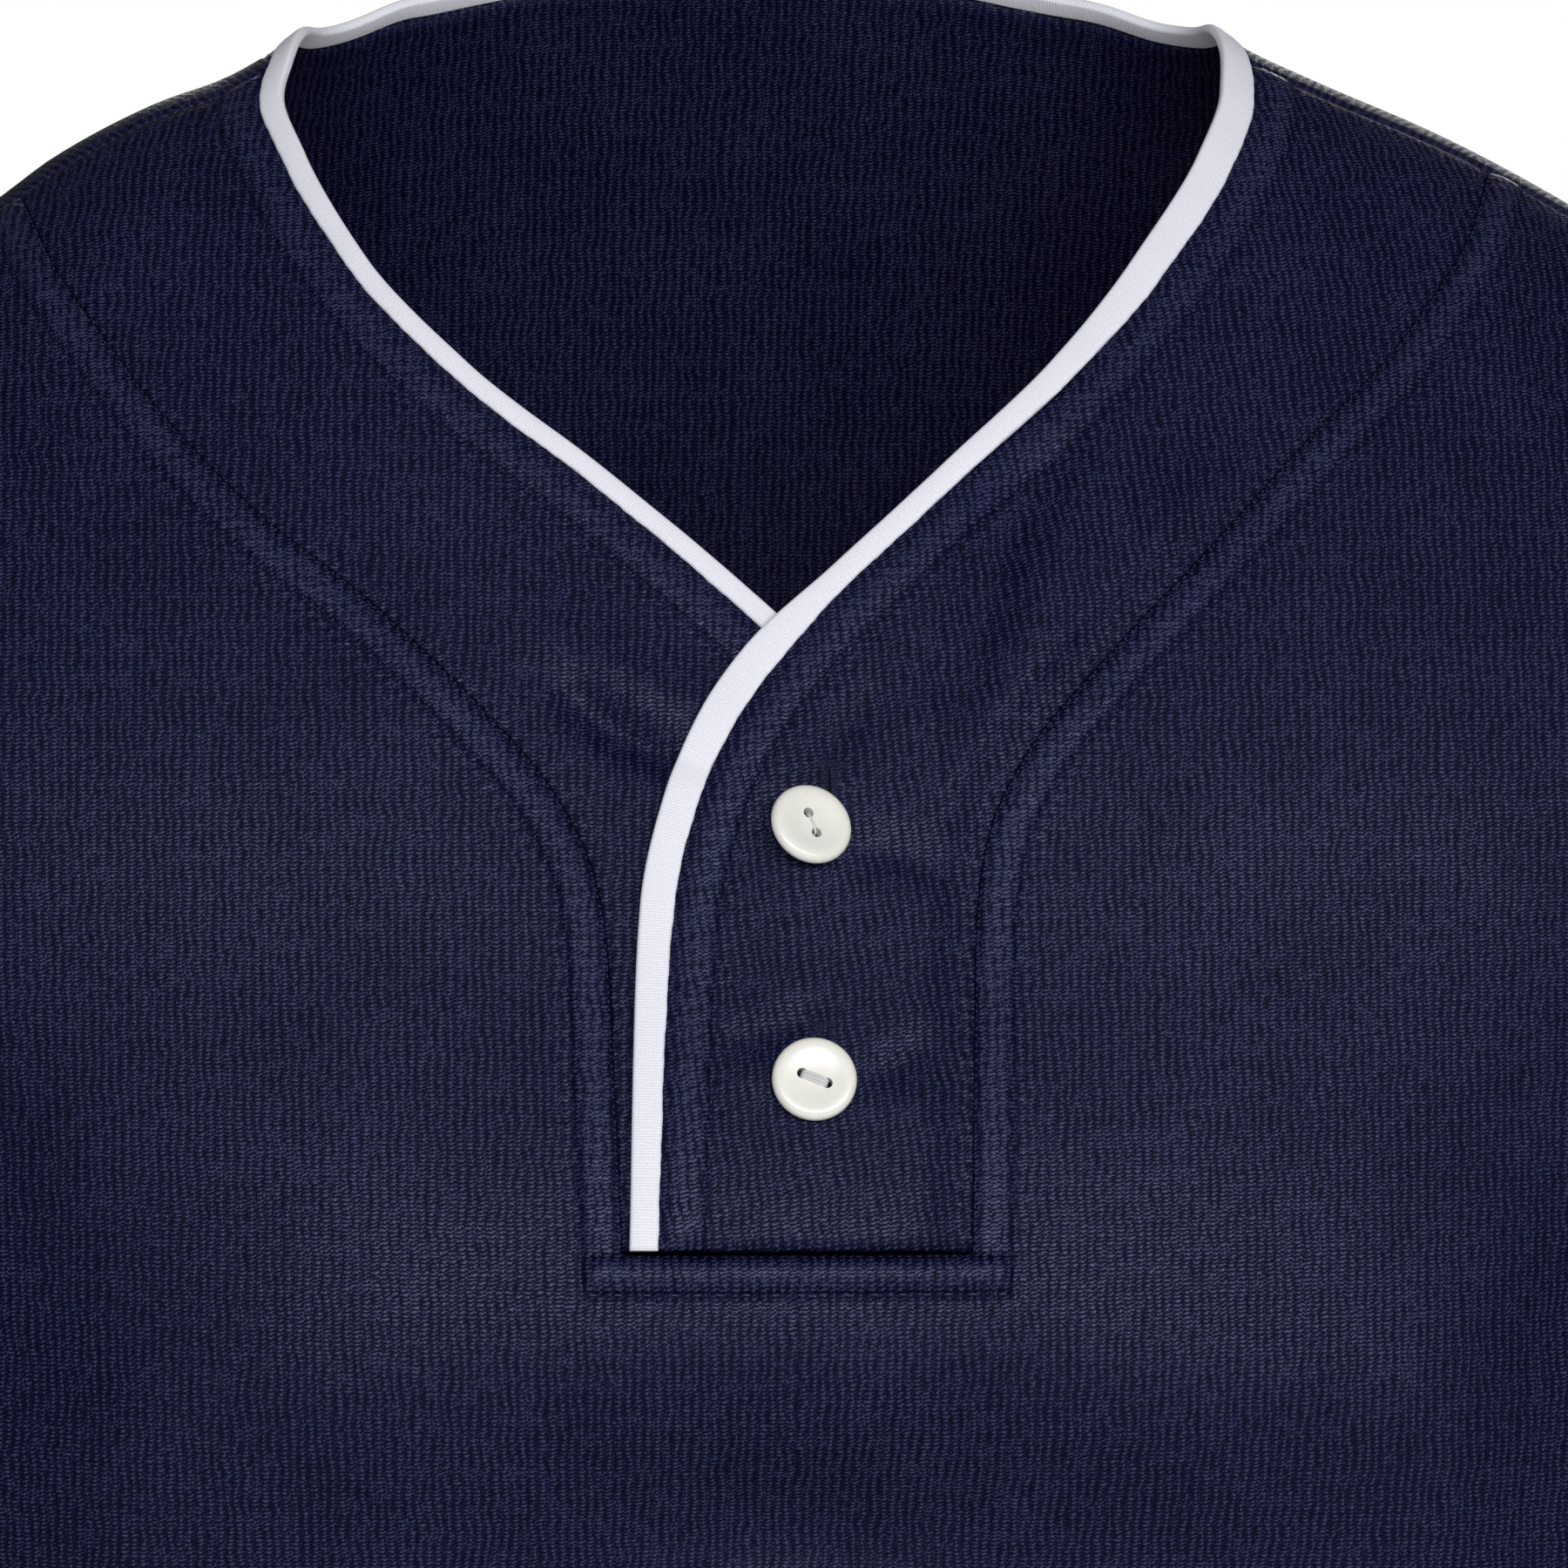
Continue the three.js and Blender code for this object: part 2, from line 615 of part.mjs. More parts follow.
// How far the flap and its neck edge stand off the layer beneath.
function flapLift(along, fromSeam) {
  return FLAP_LIFT * THREE.MathUtils.smoothstep(along, FLAP_START, FLAP_FREE)
    * THREE.MathUtils.smoothstep(fromSeam, FLAP_HINGE, FLAP_CLEAR);
}

// The spot beside the neck edge that lies on the shoulder seam.
function seamSpot(share, distance) {
  const reach = 0.03;
  const beside = (t) => stepAside(neckEdge, t, distance);
  return beside(shareAtShoulder(beside, share - reach, share + reach));
}

// Band from the neck edge out to its seam with the front.
function bandGrid(start, end, seamRows, isFlap) {
  const edgeShares = evenShares(neckEdge, start, end, SEAM_ROWS);
  const seam = pathThrough(seamRows);
  const seamStart = shareAtShoulder(seam, 0, 0.3);
  const seamShares = evenShares(seam, seamStart, 1, SEAM_ROWS);
  const profile = stripProfile(NECK_STRIP_WIDTH);
  const sign = Math.sign(seamRows[0].x);
  return edgeShares.map((share, i) => {
    const edges = profile.map((distance) => {
      const aside = neckEdge.widthAt(share) + SEAM_GAP + distance;
      return i === 0 ? seamSpot(start, aside) : stepAside(neckEdge, share, aside);
    });
    const far = stepAside(seam, seamShares[i], sign * SEAM_GAP / 2);
    const spots = [...edges];
    for (let j = 1; j <= BAND_COLUMNS; j += 1) {
      const u = j / BAND_COLUMNS;
      spots.push({ x: mix(edges[2].x, far.x, u), rise: mix(edges[2].rise, far.rise, u) });
    }
    if (i === 0) spots.forEach((spot) => { spot.rise = seamRise(spot.x) - SHOULDER_GAP / 2; });
    if (i === SEAM_ROWS) spots.forEach((spot) => { spot.rise = PLACKET_BOTTOM - CHEST_BASE; });
    const farPoint = bodyPoint(turnOf(far.x, far.rise), far.rise, -1);
    return spots.map((spot, j) => {
      const vertex = vertexAt(turnOf(spot.x, spot.rise), spot.rise, -1);
      const fromSeam = vertex.at.distanceTo(farPoint);
      return {
        ...vertex,
        lift: isFlap ? flapLift(i / SEAM_ROWS, fromSeam) : 0,
        extra: j < 2 ? STRIP_RISE : 0,
      };
    });
  });
}

// White strip folded over the whole neck edge, down to the foot of the placket.
function neckBinding() {
  const low = -BINDING_BELOW;
  const high = BINDING_THICKNESS - BINDING_BELOW;
  const bevel = BINDING_BEVEL;
  const sectionFor = (width) => [
    { across: bevel, up: low },
    { across: width - bevel, up: low },
    { across: width, up: low + bevel },
    { across: width, up: high - bevel },
    { across: width - bevel, up: high },
    { across: bevel, up: high },
    { across: 0, up: high - bevel },
    { across: 0, up: low + bevel },
  ];
  const shares = [
    ...evenShares(neckEdge, leftShoulderShare, 0, SEAM_ROWS).reverse(),
    ...evenShares(neckEdge, leftShoulderShare, rightShoulderShare, BACK_NECK_STEPS).slice(1),
    ...evenShares(neckEdge, rightShoulderShare, 1, SEAM_ROWS).slice(1),
  ];
  const steps = shares.length - 1;
  const positions = [];
  shares.forEach((share, i) => {
    const near = neckEdge(share);
    const width = neckEdge.widthAt(share);
    const far = stepAside(neckEdge, share, width);
    if (i === 0 || i === steps) far.rise = near.rise;
    const a = vertexAt(turnOf(near.x, near.rise), near.rise, -1);
    const b = vertexAt(turnOf(far.x, far.rise), far.rise, -1);
    const along = 1 - share / leftShoulderShare;
    const lift = share < leftShoulderShare ? flapLift(along, FLAP_CLEAR) : 0;
    sectionFor(width).forEach(({ across, up }) => {
      const part = across / width;
      const out = a.out.clone().lerp(b.out, part).normalize();
      const point = a.at.clone().lerp(b.at, part).addScaledVector(out, up + lift);
      positions.push(...point.toArray());
    });
  });
  const index = [];
  const sides = sectionFor(1).length;
  for (let i = 0; i < steps; i += 1) {
    for (let j = 0; j < sides; j += 1) {
      const a = i * sides + j;
      const b = i * sides + (j + 1) % sides;
      index.push(a, b, b + sides, a, b + sides, a + sides);
    }
  }
  const end = steps * sides;
  for (let j = 1; j < sides - 1; j += 1) {
    index.push(0, j + 1, j, end, end + j, end + j + 1);
  }
  return meshFrom('neck_binding', positions, index, WHITE_BINDING);
}

// Set-in short sleeve from the armhole loop to an open cuff.
function sleeve(name, sign) {
  const seam = seamRise(sign * SHOULDER_END);
  const frontSpots = armholeSpots(sign, SEAM_ROWS, seam, -1)
    .map((spot) => vertexAt(spot.turn, spot.rise, -1));
  const backStart = Math.PI * arcRadius(sign * SHOULDER_END) - seam;
  const backSpots = armholeSpots(sign, BACK_ARMHOLE_ROWS, backStart, 1)
    .map((spot) => vertexAt(spot.turn, spot.rise, 1)).reverse();
  const loop = [...frontSpots, ...backSpots.slice(1)];
  const lengths = [0];
  for (let i = 1; i < loop.length; i += 1) {
    lengths.push(lengths[i - 1] + loop[i].at.distanceTo(loop[i - 1].at));
  }
  const axis = new THREE.Vector3(sign * Math.sin(SLEEVE_TILT), 0, -Math.cos(SLEEVE_TILT));
  const outward = new THREE.Vector3(sign * Math.cos(SLEEVE_TILT), 0, Math.sin(SLEEVE_TILT));
  const forward = new THREE.Vector3(0, -1, 0);
  const centre = CUFF_CENTRE.clone().multiply(new THREE.Vector3(sign, 1, 1));
  const lead = SLEEVE_LEAD.clone().normalize();
  lead.x *= sign;
  const columnCount = loop.length - 1;
  const columns = loop.slice(0, columnCount).map(({ at, out }, j) => {
    const share = lengths[j] / lengths[columnCount];
    const next = loop[j + 1].at;
    const before = loop[(j + columnCount - 1) % columnCount].at;
    const along = next.clone().sub(before).normalize();
    const away = out.clone().cross(along).multiplyScalar(sign).normalize();
    const under = 0.5 - 0.5 * Math.cos(2 * Math.PI * share);
    const clear = THREE.MathUtils.smoothstep(under, UNDERARM_START, UNDERARM_FULL);
    const led = mix(SLEEVE_LEAD_LEAST, 1, under);
    const pull = away.clone().multiplyScalar(1 - led).addScaledVector(lead, led).normalize();
    const start = at.clone().addScaledVector(away, SEAM_GAP)
      .addScaledVector(out, clear * (CLOTH + SEAM_GAP + UNDERARM_EASE));
    const angle = 2 * Math.PI * share;
    const end = centre.clone()
      .addScaledVector(outward, CUFF_HALF_WIDTH * Math.cos(angle))
      .addScaledVector(forward, CUFF_HALF_DEPTH * Math.sin(angle));
    return { start, end, pull, out, clear };
  });
  const points = Array.from({ length: SLEEVE_ROWS + 1 }, (_, i) => columns.map((column) => {
    const t = i / SLEEVE_ROWS;
    const t2 = t * t;
    const t3 = t2 * t;
    return new THREE.Vector3()
      .addScaledVector(column.start, 2 * t3 - 3 * t2 + 1)
      .addScaledVector(column.pull, (t3 - 2 * t2 + t) * SLEEVE_START_PULL)
      .addScaledVector(column.end, 3 * t2 - 2 * t3)
      .addScaledVector(axis, (t3 - t2) * SLEEVE_END_PULL);
  }));
  const grid = points.map((line, i) => line.map((at, j) => {
    const next = line[(j + 1) % columnCount];
    const before = line[(j + columnCount - 1) % columnCount];
    const below = points[Math.min(SLEEVE_ROWS, i + 1)][j];
    const above = points[Math.max(0, i - 1)][j];
    const round = next.clone().sub(before);
    const down = below.clone().sub(above);
    const out = round.cross(down).multiplyScalar(sign).normalize();
    if (i === 0) {
      const bodyOut = columns[j].out;
      out.lerp(bodyOut, 1 - columns[j].clear).normalize();
      const lean = out.dot(bodyOut);
      out.addScaledVector(bodyOut, Math.max(0, LEAST_LEAN - lean)).normalize();
    }
    return { at, out };
  }));
  return wall(name, grid, NAVY_KNIT, () => true, true);
}

// Dished round button with two thread holes.
const BUTTON_PROFILE = [
  { radius: 0, height: 0 },
  { radius: 0.8, height: 0 },
  { radius: 0.94, height: 0.12 },
  { radius: 1, height: 0.4 },
  { radius: 0.98, height: 0.72 },
  { radius: 0.9, height: 0.94 },
  { radius: 0.8, height: 1 },
  { radius: 0.68, height: 0.92 },
  { radius: 0.52, height: 0.66 },
  { radius: 0.3, height: 0.56 },
  { radius: 0, height: 0.54 },
];
const BUTTON_FOOT = 0.82;
// faceX and faceZ are the sideways and upward parts of the way a button faces,
// holesTurn is the fall of its line of holes to the right, in degrees.
const BUTTONS = [
  { name: 'button_upper', x: 3.1, z: -140.4, faceX: 0.3, faceZ: 0.42, holesTurn: 69, holeSpacing: 4 },
  { name: 'button_lower', x: 3.1, z: -185.1, faceX: 0.02, faceZ: 0.28, holesTurn: 22, holeSpacing: 4.8 },
];

function manifoldOf(wasm, geometry) {
  const merged = new Map();
  const vertices = [];
  const corners = [];
  const source = geometry.toNonIndexed().getAttribute('position');
  for (let i = 0; i < source.count; i += 1) {
    const point = [source.getX(i), source.getY(i), source.getZ(i)];
    const key = point.map((value) => Math.round(value * 1e4)).join(',');
    if (!merged.has(key)) {
      merged.set(key, vertices.length / 3);
      vertices.push(...point);
    }
    corners.push(merged.get(key));
  }
  const faces = [];
  for (let i = 0; i < corners.length; i += 3) {
    const [a, b, c] = corners.slice(i, i + 3);
    if (a !== b && b !== c && a !== c) faces.push(a, b, c);
  }
  return new wasm.Manifold(new wasm.Mesh({
    numProp: 3,
    vertProperties: new Float32Array(vertices),
    triVerts: new Uint32Array(faces),
  }));
}

function button(wasm, row) {
  const radius = BUTTON_DIAMETER / 2;
  const outline = BUTTON_PROFILE.map((point) => (
    new THREE.Vector2(point.radius * radius, point.height * BUTTON_THICKNESS)));
  const body = manifoldOf(wasm, new THREE.LatheGeometry(outline, BUTTON_SIDES));
  const holes = [-1, 1].map((end) => {
    const hole = new THREE.CylinderGeometry(BUTTON_HOLE_DIAMETER / 2, BUTTON_HOLE_DIAMETER / 2,
      BUTTON_THICKNESS * 3, BUTTON_HOLE_SIDES);
    hole.translate(end * row.holeSpacing / 2, 0, 0);
    return manifoldOf(wasm, hole);
  });
  const cut = body.subtract(holes[0]).subtract(holes[1]).getMesh();
  const rise = riseOf(row.x, row.z);
  const { at, out } = vertexAt(turnOf(row.x, rise), rise, -1);
  const face = new THREE.Vector3(row.faceX, -Math.sqrt(1 - row.faceX ** 2 - row.faceZ ** 2),
    row.faceZ);
  const level = new THREE.Vector3(1, 0, 0).addScaledVector(face, -face.x).normalize();
  const upward = face.clone().cross(level);
  const fall = THREE.MathUtils.degToRad(row.holesTurn);
  const holeLine = level.multiplyScalar(Math.cos(fall)).addScaledVector(upward, -Math.sin(fall));
  const placed = new THREE.Matrix4()
    .makeBasis(holeLine, face, holeLine.clone().cross(face));
  const lean = Math.sin(face.angleTo(out)) * radius * BUTTON_FOOT;
  const seat = FLAP_LIFT + CLOTH + BUTTON_SEAT_GAP + lean;
  const positions = [];
  for (let i = 0; i < cut.vertProperties.length; i += 3) {
    const point = new THREE.Vector3().fromArray(cut.vertProperties, i)
      .applyMatrix4(placed).add(at).addScaledVector(out, seat);
    positions.push(...point.toArray());
  }
  return meshFrom(row.name, positions, Array.from(cut.triVerts), WARM_WHITE_BUTTON);
}

const wasm = await Module();
wasm.setup();
const group = new THREE.Group();
group.name = 'softball_jersey';
const leftYoke = yokeGrid(1, LEFT_BAND_SEAM);
const rightYoke = yokeGrid(-1, RIGHT_BAND_SEAM);
const leftBand = bandGrid(leftShoulderShare, 0, LEFT_BAND_SEAM, true);
const rightBand = bandGrid(rightShoulderShare, 1, RIGHT_BAND_SEAM, false);
const seamXs = (yoke, band) => [...yoke[0], ...[...band[0]].reverse()].map(({ at }) => at.x);
group.add(frontBody(leftYoke, rightYoke));
group.add(backBody(seamXs(leftYoke, leftBand), seamXs(rightYoke, rightBand)));
group.add(sleeve('sleeve_left', 1));
group.add(sleeve('sleeve_right', -1));
group.add(wall('neck_band_left', leftBand, NAVY_KNIT));
group.add(wall('neck_band_right', rightBand, NAVY_KNIT));
group.add(neckBinding());
BUTTONS.forEach((row) => group.add(button(wasm, row)));

export default group;
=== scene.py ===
import math

import bpy
import numpy as np
from mathutils import Matrix, Vector


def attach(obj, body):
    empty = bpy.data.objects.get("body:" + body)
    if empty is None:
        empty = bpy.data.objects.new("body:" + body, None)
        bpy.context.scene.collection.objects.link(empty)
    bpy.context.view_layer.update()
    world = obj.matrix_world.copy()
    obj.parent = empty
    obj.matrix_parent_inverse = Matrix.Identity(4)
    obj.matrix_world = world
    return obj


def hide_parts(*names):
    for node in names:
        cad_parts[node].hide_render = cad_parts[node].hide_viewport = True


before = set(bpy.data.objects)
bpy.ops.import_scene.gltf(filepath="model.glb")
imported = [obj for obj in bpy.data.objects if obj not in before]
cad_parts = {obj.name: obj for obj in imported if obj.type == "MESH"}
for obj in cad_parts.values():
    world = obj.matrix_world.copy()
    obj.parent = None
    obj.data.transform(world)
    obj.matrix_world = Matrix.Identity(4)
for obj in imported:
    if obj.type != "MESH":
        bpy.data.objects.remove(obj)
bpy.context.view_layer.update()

# Sizes in millimetres, the same as the jersey's solids. The front faces -Y and
# +X is the wearer's left. Meshes are made in metres.
MM = 0.001
CLOTH = 1.2
SEAM_GAP = 0.3
SHOULDER_GAP = -0.1
SEAM_STRIP = 7.2
NECK_STRIP = 8.2
STRIP_RISE = 0.45
BINDING_THICKNESS = 2.0
BINDING_BELOW = 0.4
FLAP_LIFT = 2.3
FLAP_HINGE, FLAP_CLEAR = 1.5, 11
FLAP_START, FLAP_FREE = 0.3, 0.47
SHOULDER_SEAM_DROP = 3.5
PLACKET_BOTTOM = -214
HEM = -652
CHEST_BASE = -130
TOP_HALF_WIDTH = 235
ROUNDNESS = 2.3
SHOULDER_END = 190
UNDERARM = -212
HEM_RISE = HEM - CHEST_BASE
SHELL = 1.1
EDGE_ROLL = 0.2
EDGE_DEPTH = 0.05
FOOT_DEPTH = 1.5
FOOT_ROLL = 1.7
STITCH_PITCH = 2.9
SEAM_PITCH = 1.5
WALE = 0.86
COURSE = 0.76
HEM_ROWS = (19, 25)
HEM_STRIP_TOP = 22
HEM_MARKS_TOP = 60
FAR_OFF = 30.0
SIDE_LAP = 0.06
SLEEVE_LAP = 0.05
SMALL_STEP = 0.002
SMALL_RISE = 0.2
STRIP_PLUMP = 0.3
GULLY_DEPTH, GULLY_WIDTH = 0.36, 0.9
FOOT_PLUMP, FOOT_GULLY = 0.6, 0.5
PUCKER = 0.12


def columns(names, *rows):
    """A table whose columns have names."""
    return dict(zip(names.split(), np.array(rows, float).T))


BODY = columns(
    "z half_width front back",
    (-652, 212, 106, 104), (-520, 199, 101, 94), (-400, 188, 97, 84), (-310, 191, 108, 90),
    (-245, 196, 119, 98), (-212, 199, 114.5, 103), (-160, 219, 98, 110), (-130, 235, 89, 112),
    (-101, 235, 80, 110), (-50, 235, 64, 102), (0, 235, 48, 84), (48, 235, 37, 66),
)
TOP_LINE = columns(
    "x z",
    (-235, -79), (-190, -50), (-142, -23.6), (-130, -14.8), (-111, -4.8), (-99, -0.4), (-91, 4),
    (-86, 7.6), (-78, 14), (-62, 26), (-35, 38), (0, 43), (35, 38), (62, 27), (80, 14.5),
    (91, 6.6), (105, 0.1), (128, -9.7), (150, -21.2), (190, -47), (235, -79),
)
NECK_EDGE = columns(
    "x z behind width",
    (-29.9, -214, 0, 5), (-28.7, -180, 0, 5.5), (-27, -153, 0, 6.1), (-22.2, -133, 0, 6.3),
    (-14.9, -117.5, 0, 6.6), (-6.6, -106.4, 0, 6.6), (8, -93.4, 0, 4.6), (29.4, -74.2, 0, 4.4),
    (49.8, -55, 0, 5), (66.3, -35, 0, 6.4), (80, -14.8, 0, 6.8), (85.4, -2.5, 0, 6.8),
    (86.4, 5.4, 0, 6), (84, 11, 1, 4.8), (66, 16.6, 1, 4.6), (35, 22.8, 1, 4.6), (0, 25, 1, 4.6),
    (-35, 22.8, 1, 4.6), (-64, 16.6, 1, 4.6), (-81, 10.2, 1, 4.6), (-86.6, 3.4, 0, 4.8),
    (-88.4, -4, 0, 4.6), (-84.6, -15.4, 0, 4.4), (-73.7, -35.5, 0, 3.9), (-55.6, -55.2, 0, 3.9),
    (-31.3, -74.6, 0, 3.9), (-9, -93.6, 0, 4), (3, -104.9, 0, 4.2), (12, -116.4, 0, 4.6),
    (17.5, -133, 0, 5), (20, -156, 0, 5), (20.5, -214, 0, 5),
)
LEFT_SEAM = columns(
    "x z",
    (139.6, -14), (131.8, -28.3), (115.9, -50.3), (96.9, -69), (77, -89.5), (57, -109.8),
    (43.2, -125.8), (35.8, -141), (33.4, -155.3), (32.2, -180), (31, -214),
)
RIGHT_SEAM = columns(
    "x z",
    (-139.4, -20), (-132, -34), (-116.8, -57.3), (-97, -80), (-74.6, -98.4), (-55.5, -117),
    (-42, -133), (-35.2, -147.5), (-33, -160), (-32.2, -184), (-31.2, -214),
)
ARMHOLE = columns(
    "z x",
    (-212, 199), (-203, 194.5), (-185, 185), (-160, 175.5), (-130, 171), (-100, 173.5),
    (-76, 181), (-56, 190),
)
FOLDS = columns(
    "side x width depth start full",
    (-1, -118, 34, 5.5, -330, -560), (-1, -52, 26, -3.5, -400, -600), (-1, 38, 30, 3.5, -380, -580),
    (-1, 112, 30, -4.5, -340, -570), (1, -96, 34, 5, -300, -540), (1, -12, 30, -4, -330, -580),
    (1, 84, 36, 5.5, -290, -550),
)
# Soft creases in the worn cloth, from one end to the other. Depth is inward
# where negative, and bow is how far the middle swings to the side.
CREASES = columns(
    "side x0 z0 x1 z1 bow width depth",
    (-1, -42, -112, -17, -128, 2, 3.6, -2.9),
    (-1, -37, -104, -14, -119, 1.5, 4.5, 1.2),
    (-1, 52, -66, 29, -122, 2.5, 6, -2.5),
    (-1, 61, -66, 42, -114, 2, 5.5, 1.3),
    (-1, -14, -179, 6, -171, 1.5, 3.4, -0.9),
    (-1, -10, -187, 2, -178, -1, 4, 0.5),
    (-1, 12, -186, 25, -176, 1, 3.6, -1.2),
    (-1, 10, -143, 28, -148, -1.2, 4, -1.2),
    (-1, -12, -150, -2, -132, 1.5, 4, -0.6),
    (-1, 6, -128, 16, -112, 1, 3.2, -0.7),
    (-1, -124, -284, 124, -284, -8, 32, -15),
    (-1, -34, -256, 40, -256, 8, 16, -5.0),
    (-1, 146, -30, 149, -70, 3, 5, -1.8),
    (-1, 160, -44, 158, -110, -4, 7, 1.6),
    (-1, -152, -44, -150, -120, 4, 7, -1.6),
    (-1, -168, -70, -163, -140, 4, 6, 1.3),
    (-1, 188, -205, 128, -236, 4, 8, -2.2),
    (-1, 186, -226, 120, -270, -5, 9, -1.7),
    (-1, -187, -208, -118, -244, 4, 8, -2.4),
    (-1, -184, -232, -130, -290, 6, 10, -1.6),
    (-1, -60, -262, -30, -420, 6, 16, 1.8),
    (-1, 20, -300, 4, -470, -6, 18, -2.0),
    (-1, 84, -280, 74, -400, 5, 14, 1.8),
    (-1, 150, -330, 96, -372, 5, 11, -2.4),
    (-1, 166, -380, 112, -402, -4, 9, -1.8),
    (-1, -160, -350, -96, -386, -6, 12, -2.4),
    (-1, -168, -420, -120, -436, 3, 9, -1.6),
    (1, 20, -60, 34, -210, 7, 18, -2.2),
    (1, -48, -70, -60, -190, -7, 16, -1.9),
    (1, 150, -120, 120, -250, 8, 13, -2.5),
    (1, -150, -128, -126, -240, -8, 13, -2.2),
    (1, 60, -330, -66, -342, 8, 12, -2.8),
    (1, -20, -372, -120, -388, -6, 11, -2.2),
    (1, 140, -356, 40, -384, 7, 10, -2.0),
    (1, -150, -300, -70, -312, 5, 10, -1.9),
)


def smoothstep(x, start, end):
    t = np.clip((np.asarray(x, float) - start) / (end - start), 0, 1)
    return t * t * (3 - 2 * t)


def mix(a, b, t):
    return a + (b - a) * t


def bell(x, middle, width):
    """One at the middle, falling off over that width to both sides."""
    return np.exp(-(((x - middle) / width) ** 2))


def unit(vectors):
    return vectors / np.linalg.norm(vectors, axis=-1, keepdims=True)


def hermite(a, slope_a, b, slope_b, t):
    """Cubic from a to b that leaves and arrives at the given slopes."""
    t2, t3 = t * t, t * t * t
    return ((2 * t3 - 3 * t2 + 1) * a + (t3 - 2 * t2 + t) * slope_a
            + (3 * t2 - 2 * t3) * b + (t3 - t2) * slope_b)


def curve_through(xs, ys):
    """Smooth curve through the points that never overshoots them."""
    steps = np.diff(xs)
    slopes = np.diff(ys) / steps
    tangents = np.zeros(len(xs))
    tangents[0], tangents[-1] = slopes[0], slopes[-1]
    for i in range(1, len(xs) - 1):
        if slopes[i - 1] * slopes[i] > 0:
            a = 2 * steps[i] + steps[i - 1]
            b = steps[i] + 2 * steps[i - 1]
            tangents[i] = (a + b) / (a / slopes[i - 1] + b / slopes[i])

    def at(x):
        inside = np.clip(x, xs[0], xs[-1])
        i = np.clip(np.searchsorted(xs, inside, side="right") - 1, 0, len(xs) - 2)
        return hermite(ys[i], steps[i] * tangents[i], ys[i + 1], steps[i] * tangents[i + 1],
                       (inside - xs[i]) / steps[i])

    at.start_slope, at.end_slope = tangents[0], tangents[-1]
    return at


half_width_at = curve_through(BODY["z"], BODY["half_width"])
front_at = curve_through(BODY["z"], BODY["front"])
back_at = curve_through(BODY["z"], BODY["back"])
top_at = curve_through(TOP_LINE["x"], TOP_LINE["z"])
armhole_at = curve_through(ARMHOLE["z"], ARMHOLE["x"])


def rows_of(table):
    """The rows of a table, each with the names of its columns."""
    return [dict(zip(table, row)) for row in zip(*table.values())]


def fold_at(side, x, z):
    """Depth of the long drape folds below the bust."""
    depth = np.zeros(np.broadcast(side, x, z).shape)
    for row in rows_of(FOLDS):
        grown = smoothstep(-z, -row["start"], -row["full"])
        depth += (side == row["side"]) * row["depth"] * bell(x, row["x"], row["width"]) * grown
    return depth


def crease_at(side, x, z):
    """Depth of the soft creases."""
    depth = np.zeros(np.broadcast(side, x, z).shape)
    for row in rows_of(CREASES):
        way = np.array([row["x1"] - row["x0"], row["z1"] - row["z0"]])
        length = np.hypot(*way)
        way /= length
        dx, dz = x - row["x0"], z - row["z0"]
        along = (dx * way[0] + dz * way[1]) / length
        inside = np.clip(along, 0, 1)
        aside = dx * way[1] - dz * way[0] - row["bow"] * np.sin(math.pi * inside)
        beyond = (along - inside) * length
        taper = np.sin(math.pi * np.clip(inside, 0.02, 0.98)) ** 0.7
        near = np.exp(-(aside**2 + beyond**2) / row["width"] ** 2)
        depth += (side == row["side"]) * row["depth"] * taper * near
    return depth


def half_width(rise):
    return np.where(rise < 0, half_width_at(CHEST_BASE + rise), TOP_HALF_WIDTH)


def sideways(turn, rise):
    s = np.sin(turn)
    return half_width(rise) * np.sign(s) * np.abs(s) ** (2 / ROUNDNESS)


def turn_of(x, rise):
    share = np.minimum(1, np.abs(x) / half_width(rise))
    return np.sign(x) * np.arcsin(share ** (ROUNDNESS / 2))


def arc_radius(x):
    return top_at(x) - CHEST_BASE


def rise_of(x, z, behind):
    radius = arc_radius(x)
    angle = np.arcsin(np.clip((z - CHEST_BASE) / radius, -1, 1))
    over = radius * np.where(behind > 0.5, math.pi - angle, angle)
    return np.where(z <= CHEST_BASE, z - CHEST_BASE, over)


def body_point(turn, rise, side):
    """Inner face of the body's cloth: turn goes round it, rise goes up and over."""
    turn, rise = np.broadcast_arrays(np.asarray(turn, float), np.asarray(rise, float))
    x = sideways(turn, rise)
    deep = np.maximum(0, np.cos(turn)) ** (2 / ROUNDNESS)
    radius = arc_radius(x)
    angle = np.where(rise > 0, rise / radius, 0)
    z = np.where(rise > 0, CHEST_BASE + radius * np.sin(angle), CHEST_BASE + rise)
    lean = np.cos(angle)
    face = np.where(lean >= 0, side, -side)
    depth = np.where(face < 0, front_at(z), back_at(z)) + fold_at(face, x, z)
    return np.stack([x, face * depth * deep * np.abs(lean), z], -1)


def body_normal(turn, rise, side):
    across = (body_point(turn + SMALL_STEP, rise, side)
              - body_point(turn - SMALL_STEP, rise, side))
    up = (body_point(turn, rise + SMALL_RISE, side)
          - body_point(turn, rise - SMALL_RISE, side))
    return unit(np.cross(across, up) * -side)


def on_cloth(turn, rise, side, off):
    """A point off the body's inner face by off, with the soft creases in it."""
    at = body_point(turn, rise, side)
    out = body_normal(turn, rise, side)
    face = np.where(at[..., 1] > 0, 1, -1)
    moved = np.asarray(off) + crease_at(face, at[..., 0], at[..., 2])
    return at + out * moved[..., None]


def lengths_along(points):
    """Lengths along the rows of points, from the first."""
    steps = np.linalg.norm(np.diff(points, axis=0), axis=-1)
    return np.concatenate([np.zeros((1,) + steps.shape[1:]), np.cumsum(steps, axis=0)])


def lengths_across(points):
    return lengths_along(points.swapaxes(0, 1)).swapaxes(0, 1)


